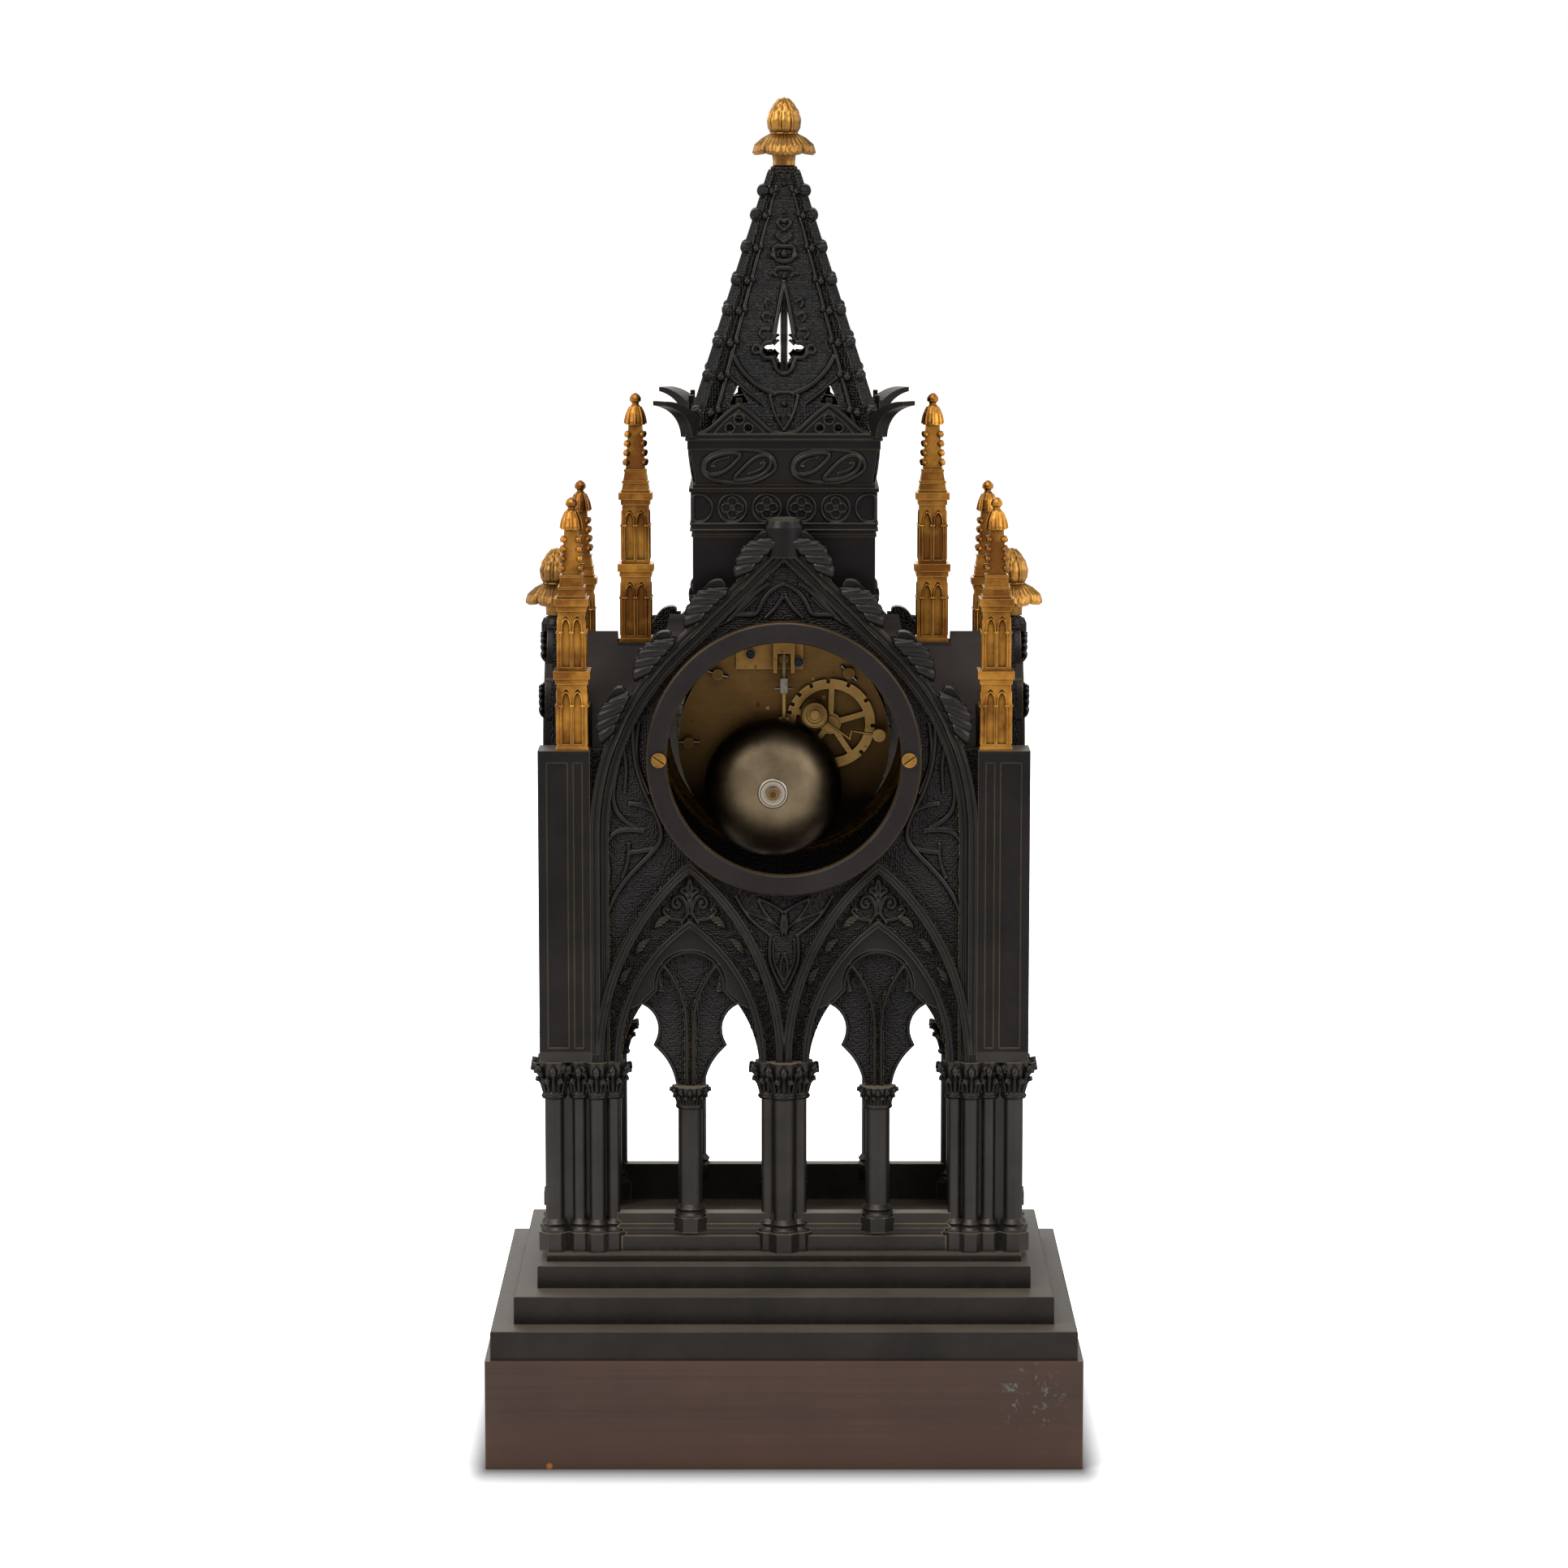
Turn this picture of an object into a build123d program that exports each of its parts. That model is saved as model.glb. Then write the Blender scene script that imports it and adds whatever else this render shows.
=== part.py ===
from build123d import *
from math import atan2, cos, degrees, hypot, pi, radians, sin, sqrt, tan
import os

os.makedirs("parts", exist_ok=True)

# All sizes in mm. The dial faces -Y, the bell faces +Y, +Z is up, the base rests on z = 0.

# Base
plinth_w = 245.0
plinth_d = 188.0
plinth_h = 45.5
base_wall = 4.0
tier_sizes = [(240.5, 184.7, 11.9), (222.3, 160.3, 11.6), (204.2, 131.0, 9.5), (197.0, 116.0, 3.0)]
tier_round = 0.8
floor_z = plinth_h + sum(tier[2] for tier in tier_sizes)

# Heights of the body
sill_z = floor_z + 15.9
capital_z = 145.8
abacus_z = 161.6
small_capital_z = 142.0
small_abacus_z = 151.0
shoulder_z = 291.6
axis_z = 288.6

# Front and back walls, as distances out from the middle of the body
wall_in = 44.0
wall_field = 49.0
wall_mid = 51.2
wall_face = 53.0
panel_sink = 2.0
gable_half = 79.7
shoulder_w = 9.0
shoulder_h = 45.0
shoulder_t = 2.0
gable_apex = 380.4
gable_slope = 44.4
gable_round = 107.6
bay_u = 38.9
bay_arch_half = 39.7
bay_arch_apex = 246.2
bay_band = 4.0
inner_arch_half = 31.5
inner_arch_apex = 221.2
inner_band = 3.0
knob_r = 8.2
knob_top = 387.3

# Lancets, measured from the axis of the slender column
small_column_r = 5.05
lancet_out = 28.5
cusp_u = 14.4
cusp_z = 168.1
lancet_apex_u = 19.5
lancet_apex_z = 185.4

# Side walls
side_in = 91.0
side_field = 96.0
side_face = 99.5
side_half = 33.3
side_apex = 337.0
side_round = 40.0
side_knob_r = 6.5
side_knob_top = 341.8

# Corner piers
pilaster_out_x = 101.2
pilaster_out_y = 52.0
pinnacle_x = 87.0
pinnacle_y = 44.4

# Roof and tower
roof_sheet = 3.0
eave_z = 304.0
ridge_z = 335.5
seat_half = 49.0
seat_z = 338.0
seat_room = 335.5
roof_pinnacle_x = 62.0
roof_pinnacle_z = 331.5
tower_half = 37.5
tower_wall = 3.0
frieze_z = 384.0
ledge_z = 397.0
tower_top = 398.5
block_top = 418.0
block_low_half = 36.2
block_high_half = 38.4
cornice_half = 39.6

# Spire
spire_z = 421.0
spire_top = 528.5
spire_low_half = 36.0
spire_high_half = 4.2
spire_sheet = 3.0
crocket_levels = [429.3, 443.9, 457.5, 470.4, 482.6, 495.9, 509.1, 519.0]
crocket_r = 2.7
rod_r = 1.5
horn_reach = 72.0
horn_tip_z = 433.0

# Gilt castings
pinnacle_h = 103.7
pinnacle_w = 14.4
finial_h = 29.0
finial_r = 13.2
stud_r = 1.6
stud_len = 5.0

# Rings, straps and door
hole_r = 54.5
ring_out = 56.6
ring_in = 48.0
flange_t = 4.3
spigot_r = 54.4
spigot_in = 53.2
spigot_len = 7.0
strap_u = 51.3
strap_t = 3.0
strap_h = 8.0
screw_r = 1.5
screw_head_r = 3.0
dial_r = 49.6
dial_t = 1.5
door_gap = 0.4
door_r = 57.5
door_in = 46.8
glass_r = 49.1
glass_t = 1.6
glass_rise = 9.0
hinge_u = 60.2
hinge_r = 2.3
hinge_pin_r = 1.0

# Movement: depths run from the rear face of the back plate towards the dial
plate_r = 44.5
plate_t = 2.0
plate_room = 36.0
pivot_r = 0.7
arbor_r = 1.1
slim_r = 0.8
fine_r = 0.6
fly_r = 0.55
pivot_step = 0.1
run_fit = 0.06
shake = 0.4
pivot_sunk = 0.2
pillar_r = 2.8
pillar_ring = 40.0
pillar_angles = [133.0, 46.0, 0.0, -70.0, -110.0]
pillar_end_r = 2.2
pillar_end_len = 4.0
taper_pin_r = 0.7
taper_pin_len = 9.0

front_in = plate_t + plate_room
front_out = front_in + plate_t
dial_back = wall_face - dial_t

# Wheel centres, as (sideways, up) from the movement's axis, and tooth counts
going_barrel_at = (21.0, -13.0)
strike_barrel_at = (-21.0, -13.0)
escape_at = (0.0, 23.5)
pallet_at = (0.0, 35.5)
count_at = (-19.5, 8.1)
hammer_at = (-39.8, 4.0)
head_at = (-12.9, 13.2)
bell_at = (4.6, -18.0)
minute_wheel_at = (0.0, 12.0)
barrel_teeth = 80
barrel_pitch_r = 18.4
middle_leaves = 10
middle_teeth = 80
middle_pitch_r = 16.0
centre_leaves = 10
centre_teeth = 80
centre_pitch_r = 14.4
third_leaves = 8
third_teeth = 72
third_pitch_r = 10.35
escape_leaves = 8
escape_teeth = 40
escape_tip_r = 9.0
strike_teeth = 84
second_leaves = 14
second_teeth = 72
second_pitch_r = 9.9
pin_leaves = 8
pin_teeth = 72
pin_pitch_r = 8.0
fly_leaves = 8
cannon_leaves = 12
cannon_pitch_r = 3.0
minute_teeth = 36
minute_leaves = 10
minute_leaf_r = 2.4
hour_teeth = 40
drum_r = 17.0
winder_r = 2.6
winder_tail_r = 2.0
winder_square = 3.6

# Bell and hammer
bell_r = 28.7
bell_rim = 9.0
bell_crown = 28.0
bell_t = 1.6
bell_post_r = 2.0
head_r = 6.0

# Hands
minute_len = 40.0
hour_len = 27.0
minute_angle = 48.0
hour_angle = 304.0

over = 1.0


# Shared helpers
def block(x0, x1, y0, y1, z0, z1):
    return Pos((x0 + x1) / 2, (y0 + y1) / 2, (z0 + z1) / 2) * Box(x1 - x0, y1 - y0, z1 - z0)


def slab(w, d, z0, z1):
    return block(-w / 2, w / 2, -d / 2, d / 2, z0, z1)


def layer(face, n0, n1):
    return Pos(0, 0, n0) * extrude(face, amount=n1 - n0, dir=(0, 0, 1))


def upright(shape):
    return Rot(90, 0, 0) * shape


def turned(points):
    return revolve(Plane.XZ * make_face(Polyline(*points, close=True)), axis=Axis.Z)


def rod(at, r, n0, n1):
    return Pos(at[0], at[1], (n0 + n1) / 2) * Cylinder(r, n1 - n0)


def save(name, shape):
    export_step(shape, f"parts/{name}.step")


# Plinth and steps
plinth = slab(plinth_w, plinth_d, 0, plinth_h)
plinth -= slab(plinth_w - 2 * base_wall, plinth_d - 2 * base_wall, -over, plinth_h - base_wall)
plinth = fillet(plinth.edges().filter_by(Axis.Z).group_by(SortBy.LENGTH)[-1], tier_round)
save("plinth_block", plinth)

tiers = None
hollow = None
tier_z = plinth_h
for tier_w, tier_d, tier_h in tier_sizes:
    tier = slab(tier_w, tier_d, tier_z, tier_z + tier_h)
    tier = fillet(tier.edges().group_by(Axis.Z)[-1], tier_round)
    tiers = tier if tiers is None else tiers + tier
    tier_z += tier_h
    room = slab(tier_w - 2 * base_wall, tier_d - 2 * base_wall, plinth_h - over, tier_z - base_wall)
    hollow = room if hollow is None else hollow + room
save("stepped_base", tiers - hollow)


# Arch outlines, drawn in a wall's own plane: sideways, up
def pointed_arch(half, spring, apex, foot, inset=0.0):
    rise = apex - spring
    centre = (half**2 - rise**2) / (2 * half)
    r = half - centre - inset
    top = spring + sqrt(r**2 - centre**2)
    turn = atan2(top - spring, -centre) / 2
    mid_u = centre + r * cos(turn)
    mid_z = spring + r * sin(turn)
    edge = half - inset
    outline = [
        Line((-edge, foot), (edge, foot)),
        ThreePointArc((edge, spring), (mid_u, mid_z), (0, top)),
        ThreePointArc((0, top), (-mid_u, mid_z), (-edge, spring)),
    ]
    if foot < spring:
        outline.append(Line((edge, foot), (edge, spring)))
        outline.append(Line((-edge, spring), (-edge, foot)))
    return make_face(outline)


def gable_face(half, apex, radius, foot, inset=0.0):
    slope = radians(gable_slope)
    edge = half - inset
    r = radius - inset
    top = apex - inset / cos(slope)
    corner = top - edge * tan(slope)
    turn = pi / 2 - slope
    run = r * tan(turn / 2)
    knee = corner - run
    end_u = edge - run * cos(slope)
    end_z = corner + run * sin(slope)
    mid_u = edge - r + r * cos(turn / 2)
    mid_z = knee + r * sin(turn / 2)
    return make_face(
        [
            Line((-edge, foot), (edge, foot)),
            Line((edge, foot), (edge, knee)),
            ThreePointArc((edge, knee), (mid_u, mid_z), (end_u, end_z)),
            Line((end_u, end_z), (0, top)),
            Line((0, top), (-end_u, end_z)),
            ThreePointArc((-end_u, end_z), (-mid_u, mid_z), (-edge, knee)),
            Line((-edge, knee), (-edge, foot)),
        ]
    )


def lancet(side):
    start = (side * small_column_r, small_abacus_z)
    cusp = (side * cusp_u, cusp_z)
    tip = (side * lancet_apex_u, lancet_apex_z)
    spring = (side * lancet_out, abacus_z)
    low = sill_z
    return make_face(
        [
            ThreePointArc(start, (side * 8.2, 160.8), cusp),
            ThreePointArc(cusp, (side * 12.6, 177.5), tip),
            ThreePointArc(tip, (side * 25.4, 174.6), spring),
            Line(spring, (side * lancet_out, low)),
            Line((side * lancet_out, low), (side * small_column_r, low)),
            Line((side * small_column_r, low), start),
        ]
    )


def rib(a, b, c, width):
    u = (c[1] - a[1], a[0] - c[0])
    scale = width / 2 / hypot(*u)
    dx = u[0] * scale
    dy = u[1] * scale
    return make_face(
        [
            ThreePointArc((a[0] + dx, a[1] + dy), (b[0] + dx, b[1] + dy), (c[0] + dx, c[1] + dy)),
            Line((c[0] + dx, c[1] + dy), (c[0] - dx, c[1] - dy)),
            ThreePointArc((c[0] - dx, c[1] - dy), (b[0] - dx, b[1] - dy), (a[0] - dx, a[1] - dy)),
            Line((a[0] - dx, a[1] - dy), (a[0] + dx, a[1] + dy)),
        ]
    )


# One bay of blind tracery over a pair of lancets
trefoil_z = 196.5
trefoil_r = 14.0
rib_w = 1.7
fan_foot = 176.0
fan_top = (11.6, 202.4)


def bay_sunk():
    return pointed_arch(inner_arch_half, abacus_z, inner_arch_apex, small_abacus_z, inner_band)


def bay_tracery(n0, n1):
    ring = Pos(0, trefoil_z) * (Circle(trefoil_r) - Circle(trefoil_r - rib_w))
    ring -= Pos(0, trefoil_z - trefoil_r) * Rectangle(4 * trefoil_r, 1.2 * trefoil_r)
    ribs = ring
    stem_h = fan_foot - small_abacus_z
    for side in (1, -1):
        stem = (side * 1.4, fan_foot - 1)
        bend = (side * 4.4, 191)
        ribs += rib(stem, bend, (side * fan_top[0], fan_top[1]), rib_w)
        ribs += Pos(side * 1.4, small_abacus_z + stem_h / 2) * Rectangle(rib_w, stem_h)
    return layer(ribs, n0, n1)


def arch_band(half, apex, band, n0, n1, n2):
    wide = pointed_arch(half, abacus_z, apex, abacus_z) - pointed_arch(half, abacus_z, apex, abacus_z, band)
    fine = pointed_arch(half, abacus_z, apex, abacus_z, band * 0.25)
    fine -= pointed_arch(half, abacus_z, apex, abacus_z, band * 0.7)
    return layer(wide, n0, n1) + layer(fine, n0, n2)


def crocket(u, z, normal, n0, n1, scale=1.0):
    leaf = [(-1.0, -2.0), (2.0, 2.2), (8.0, 5.2), (16.0, 7.0), (22.0, 6.8), (25.0, 3.8), (22.0, 1.0)]
    along = radians(normal + 90)
    out = radians(normal)
    points = []
    for s, t in leaf:
        s = (s - 12.0) * scale
        t = t * scale
        points.append((u + s * cos(along) + t * cos(out), z + s * sin(along) + t * sin(out)))
    back = [(14.0 * scale, -3.0), (-13.0 * scale, -4.0)]
    ends = []
    for s, t in back:
        ends.append((u + s * cos(along) + t * cos(out), z + s * sin(along) + t * sin(out)))
    outline = [Spline(*points), Polyline(points[-1], ends[0], ends[1], points[0])]
    return layer(make_face(outline), n0, n1)


def knob(r, z0, z1, n):
    top = [(0, z0), (r, z0), (r, z1 - 0.45 * r), (r * 0.86, z1 - 0.12 * r), (r * 0.62, z1), (0, z1)]
    return Pos(0, -n, 0) * turned(top)


def mirror_u(shape):
    return mirror(shape, about=Plane.YZ)


# Front and back facades
facade_crockets = [(10.8, 370.0, 45.6), (31.4, 349.8, 45.6), (52.6, 328.4, 41.5), (68.6, 304.5, 25.0)]

impost_h = abacus_z - small_abacus_z + over
impost_face = Pos(0, (small_abacus_z + abacus_z) / 2) * Rectangle(2 * cusp_u, impost_h)
facade_face = gable_face(gable_half, gable_apex, gable_round, abacus_z)
for bay in (-bay_u, bay_u):
    facade_face += Pos(bay, 0) * impost_face
for bay in (-bay_u, bay_u):
    for side in (-1, 1):
        facade_face -= Pos(bay, 0) * lancet(side)
facade_face -= Pos(0, axis_z) * Circle(hole_r)
facade = layer(facade_face, wall_in, wall_field)
bay_arches = [(bay_arch_half, bay_arch_apex, bay_band), (inner_arch_half, inner_arch_apex, inner_band)]
facade_bands = layer(
    gable_face(gable_half, gable_apex, gable_round, abacus_z)
    - gable_face(gable_half, gable_apex, gable_round, abacus_z, 3.5),
    wall_in,
    wall_face,
)
facade_bands += layer(
    gable_face(gable_half, gable_apex, gable_round, abacus_z, 3.0)
    - gable_face(gable_half, gable_apex, gable_round, abacus_z, 7.5),
    wall_in,
    wall_mid,
)
for bay in (-bay_u, bay_u):
    facade -= Pos(bay, 0, 0) * layer(bay_sunk(), wall_field - panel_sink, wall_field + over)
    facade += Pos(bay, 0, 0) * bay_tracery(wall_in + 1, wall_field - 0.4)
    for half, apex, band in bay_arches:
        facade_bands += Pos(bay, 0, 0) * arch_band(half, apex, band, wall_in, wall_mid, wall_face)
facade += facade_bands
for bay in (-bay_u, bay_u):
    for side in (-1, 1):
        facade -= Pos(bay, 0, 0) * layer(lancet(side), wall_in - over, wall_face + over)
facade -= rod((0, axis_z), hole_r, wall_in - over, wall_face + over)
for u, z, normal in facade_crockets:
    leaf = crocket(u, z, normal, wall_in + 1.5, wall_face - 0.6)
    facade += leaf
    facade += mirror_u(leaf)
shoulder_face = Rectangle(shoulder_w, shoulder_h)
for side in (-1, 1):
    corner = Pos(side * (gable_half - shoulder_w / 2), shoulder_z - shoulder_h / 2)
    facade += layer(corner * shoulder_face, wall_in, wall_in + shoulder_t)
facade = upright(facade) + knob(knob_r, gable_apex - 9, knob_top, (wall_in + wall_face) / 2)
save("front_facade", facade)
save("back_facade", Rot(0, 0, 180) * facade)


# Columns
base_spread = 2.6
base_h = 8.0
small_spread = 2.0
small_base_h = 6.0


def column(x, y, r, z0, cap, top, flare, spread=base_spread, foot_h=base_h):
    cap_h = top - cap
    base = RegularPolygon((r + spread) / cos(pi / 8), 8, rotation=22.5)
    foot = Pos(x, y, z0) * extrude(base, amount=foot_h)
    return foot + Pos(x, y, 0) * turned(
        [
            (0, z0),
            (r + 1.9, z0),
            (r + 1.9, z0 + foot_h + 1.2),
            (r + 0.9, z0 + foot_h + 2.2),
            (r + 1.5, z0 + foot_h + 3.6),
            (r, z0 + foot_h + 5.4),
            (r, cap),
            (r + 0.9, cap + 0.06 * cap_h),
            (r + 0.9, cap + 0.16 * cap_h),
            (r + 0.1, cap + 0.24 * cap_h),
            (r + 0.5 * flare, cap + 0.55 * cap_h),
            (r + flare, cap + 0.78 * cap_h),
            (r + flare, top),
            (0, top),
        ]
    )


def small_column(x, y):
    foot = sill_z - 7.5
    heights = (foot, small_capital_z, small_abacus_z)
    return column(x, y, small_column_r, *heights, 2.0, small_spread, small_base_h)


# Corner piers
pier_shafts = [
    (77.5, -49.0, 3.3),
    (85.0, -47.8, 2.8),
    (70.9, -47.4, 2.7),
    (95.4, -47.5, 3.9),
    (95.4, -33.0, 4.1),
]
groove = 1.2
pier = block(70.5, 96.0, -46.0, -33.0, floor_z, abacus_z)
for shaft_x, shaft_y, shaft_r in pier_shafts:
    pier += column(shaft_x, shaft_y, shaft_r, floor_z, capital_z, abacus_z, 2.2)
pilaster = block(gable_half, pilaster_out_x, -pilaster_out_y, -side_half, abacus_z, shoulder_z)
for x0, x1 in ((83.0, 86.5), (89.0, 97.5)):
    pilaster -= block(x0, x1, -pilaster_out_y - over, -pilaster_out_y + groove, abacus_z + 6, shoulder_z - 5)
for y0, y1 in ((-49.0, -44.0), (-41.5, -37.0)):
    side_x = pilaster_out_x - groove
    pilaster -= block(side_x, pilaster_out_x + over, y0, y1, abacus_z + 6, shoulder_z - 5)
pier += pilaster
pier -= Pos(pinnacle_x, -pinnacle_y, shoulder_z - stud_len / 2) * Cylinder(stud_r, stud_len)
piers = {}
for depth_name, flip_y in (("front", False), ("back", True)):
    for side_name, flip_x in (("right", False), ("left", True)):
        copy = pier
        if flip_x:
            copy = mirror(copy, about=Plane.YZ)
        if flip_y:
            copy = mirror(copy, about=Plane.XZ)
        piers[f"{depth_name}_{side_name}"] = copy
        save(f"pier_{depth_name}_{side_name}", copy)


# Front and back arcades: sill, centre pier and slender columns
def sill(half, n0, n1):
    body = block(-half, half, -n1, -n0, floor_z, sill_z)
    body += block(-half, half, -n1 - 1.6, -n0, floor_z, floor_z + 6.5)
    body += block(-half, half, -n1 - 0.8, -n0, floor_z + 9.5, floor_z + 11.5)
    return body


arcade_n = 47.4
arcade = sill(69.5, wall_in, wall_field + 1.0)
arcade += block(-6.5, 6.5, -49.0, -wall_in, floor_z, abacus_z)
for x, n, r in ((0.0, 49.2, 4.6), (-6.4, 47.4, 3.0), (6.4, 47.4, 3.0)):
    arcade += column(x, -n, r, floor_z, capital_z, abacus_z, 2.6)
for x in (-bay_u, bay_u):
    arcade += small_column(x, -arcade_n)
front_arcade = arcade
for name in ("front_left", "front_right"):
    front_arcade -= piers[name]
front_arcade -= facade
save("front_arcade", front_arcade)
save("back_arcade", Rot(0, 0, 180) * front_arcade)


# Side walls, each one casting: sill, slender column, bay and gable
side_crockets = [(8.0, 329.5, 45.6), (26.0, 309.0, 38.0)]
side_face_2d = gable_face(side_half, side_apex, side_round, abacus_z)
side_face_2d += impost_face
for side in (-1, 1):
    side_face_2d -= lancet(side)
side_wall = layer(side_face_2d, side_in, side_field)
side_wall -= layer(bay_sunk(), side_field - panel_sink, side_field + over)
side_wall += bay_tracery(side_in + 1, side_field - 0.4)
side_wall += arch_band(inner_arch_half, inner_arch_apex, inner_band, side_in, side_field + 1.6, side_face)
side_wall += layer(
    gable_face(side_half, side_apex, side_round, abacus_z)
    - gable_face(side_half, side_apex, side_round, abacus_z, 3.0),
    side_in,
    side_face,
)
blind_ring = Pos(0, 268.0) * (Circle(19.0) - Circle(16.5))
for k in range(4):
    at = (7.6 * cos(k * pi / 2), 268.0 + 7.6 * sin(k * pi / 2))
    blind_ring += Pos(*at) * (Circle(7.2) - Circle(5.4))
side_wall += layer(blind_ring, side_in + 1, side_field + 1.8)
for side in (-1, 1):
    side_wall -= layer(lancet(side), side_in - over, side_face + over)
for u, z, normal in side_crockets:
    leaf = crocket(u, z, normal, side_in + 1.5, side_face - 0.6, 0.72)
    side_wall += leaf
    side_wall += mirror_u(leaf)
side_mid = (side_in + side_face) / 2
side_wall = upright(side_wall) + knob(side_knob_r, side_apex - 7, side_knob_top, side_mid)
side_wall += small_column(0, -side_in - 4.2)
side_wall += sill(side_half, side_in, side_field + 1.0)
side_wall -= Pos(0, -side_mid, side_knob_top - stud_len / 2) * Cylinder(stud_r, stud_len)
right_wall = Rot(0, 0, 90) * side_wall
right_wall -= piers["front_right"]
right_wall -= piers["back_right"]
save("right_wall", right_wall)
save("left_wall", Rot(0, 0, 180) * right_wall)


# Roof: a pitched shell with a raised seat for the tower
def house(half_y, eave, ridge, low, half_x):
    points = [(-half_y, low), (half_y, low), (half_y, eave), (0, ridge), (-half_y, eave)]
    return extrude(Plane.YZ * make_face(Polyline(*points, close=True)), amount=half_x, both=True)


pitch = (ridge_z - eave_z) / wall_in
drop = roof_sheet * sqrt(1 + pitch**2)
room_y = wall_in - roof_sheet
notch_x = pinnacle_x - pinnacle_w / 2 - 0.8
notch_y = pinnacle_y - pinnacle_w / 2 - 0.8


def less_corners(shape, x0, y0):
    for x in (-x0 - 30, x0):
        for y in (-y0 - 30, y0):
            shape -= block(x, x + 30, y, y + 30, shoulder_z - 2 * over, ridge_z + over)
    return shape


roof = less_corners(house(wall_in, eave_z, ridge_z, shoulder_z, side_in), notch_x, notch_y)
roof += block(-seat_half, seat_half, -wall_in, wall_in, shoulder_z, seat_z)
room_eave = eave_z + roof_sheet * pitch - drop
room = house(room_y, room_eave, ridge_z - drop, shoulder_z - over, side_in - roof_sheet)
roof -= less_corners(room, notch_x - roof_sheet, notch_y - roof_sheet)
room_half = seat_half - 2.5
perch_half = pinnacle_w / 2 + 0.4
roof -= block(-room_half, room_half, -room_y, room_y, shoulder_z - over, seat_room)
for side in (-1, 1):
    x = side * roof_pinnacle_x
    perch = Pos(x, 0, 0) * slab(2 * perch_half, 2 * perch_half, roof_pinnacle_z - 14, roof_pinnacle_z)
    perch_room = Pos(x, 0, 0) * slab(2 * perch_half, 2 * perch_half, roof_pinnacle_z, ridge_z + over)
    roof += perch
    roof -= perch_room
    roof -= Pos(x, 0, roof_pinnacle_z - stud_len / 2) * Cylinder(stud_r, stud_len)
sight = Rot(90, 0, 0) * Cylinder(hole_r, wall_in - 37.0 + over)
for side in (-1, 1):
    roof -= Pos(0, side * (37.0 + wall_in + over) / 2, axis_z) * sight
roof -= Pos(0, 0, seat_z) * Cylinder(rod_r, 2 * (seat_z - seat_room) + over)
roof -= right_wall
roof -= Rot(0, 0, 180) * right_wall
save("roof", roof)

# Tower
tower = slab(2 * tower_half, 2 * tower_half, seat_z, tower_top)
tower += slab(2 * tower_half + 1.6, 2 * tower_half + 1.6, frieze_z - 3.2, frieze_z)
tower += slab(2 * tower_half + 1.0, 2 * tower_half + 1.0, frieze_z - 5.6, frieze_z - 4.4)
tower += slab(2 * tower_half + 3.0, 2 * tower_half + 3.0, ledge_z, tower_top)
bore = 2 * (tower_half - tower_wall)
tower -= slab(bore, bore, seat_z - over, tower_top + over)
save("tower", tower)


def frustum(low_half, high_half, z0, z1):
    low = Pos(0, 0, z0) * Rectangle(2 * low_half, 2 * low_half)
    high = Pos(0, 0, z1) * Rectangle(2 * high_half, 2 * high_half)
    return loft([low, high])


scroll_block = frustum(block_low_half, block_high_half, tower_top, block_top - 3.5)
scroll_block += slab(2 * cornice_half, 2 * cornice_half, block_top - 3.5, block_top)
scroll_block += slab(2 * block_low_half + 2.4, 2 * block_low_half + 2.4, tower_top, tower_top + 1.4)
scroll_block -= slab(bore - 2, bore - 2, tower_top - over, block_top + over)
save("scroll_block", scroll_block)

# Spire
spire_lean = (spire_low_half - spire_high_half) / (spire_top - spire_z)


def spire_half(z):
    return spire_low_half - spire_lean * (z - spire_z)


rib_low = 3.6
rib_high = 1.8
rib_run = []
for z, half in ((spire_z, rib_low), (spire_top - 2, rib_high)):
    reach = spire_half(z) - 0.4
    rib_run.append(Pos(reach, reach, z) * Rot(0, 0, 45) * Rectangle(2 * half, 2 * half))
corner = loft(rib_run)
for z in crocket_levels:
    reach = spire_half(z) + 1.5
    corner += Pos(reach, reach, z) * Sphere(crocket_r)
spire_hull = frustum(spire_low_half, spire_high_half, spire_z, spire_top)
spire_ribs = [Rot(0, 0, 90 * k) * corner for k in range(4)]
spire = spire_hull - frustum(
    spire_low_half - spire_sheet, spire_high_half - spire_sheet + 2, spire_z - 0.01, spire_top - 6
)
lobe_z = 454.2
lobe_r = 2.8
lobe_out = 6.0
window = make_face(Polyline((-3.4, 458.6), (3.4, 458.6), (0, 481.0), close=True))
for k in range(4):
    window += Pos(lobe_out * cos(k * pi / 2), lobe_z + lobe_out * sin(k * pi / 2)) * Circle(lobe_r)
window += Pos(0, lobe_z) * Circle(4.2)
for side in (-1, 1):
    eye = Polyline((side * 14.5, 433.0), (side * 22.5, 432.0), (side * 18.8, 440.5), close=True)
    window += make_face(eye)
window = upright(layer(window, -spire_low_half - over, spire_low_half + over))
spire -= window
spire -= Rot(0, 0, 90) * window
for spire_rib in spire_ribs:
    spire += spire_rib
spire += Pos(0, 0, spire_top - 2.6) * Cylinder(5.6, 5.2)
spire += Pos(0, 0, spire_top - 3.4) * Cylinder(6.3, 1.4)
spire &= slab(200, 200, spire_z, spire_top)
spire -= Pos(0, 0, spire_top) * Cylinder(rod_r, 30)
save("spire", spire)

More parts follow.
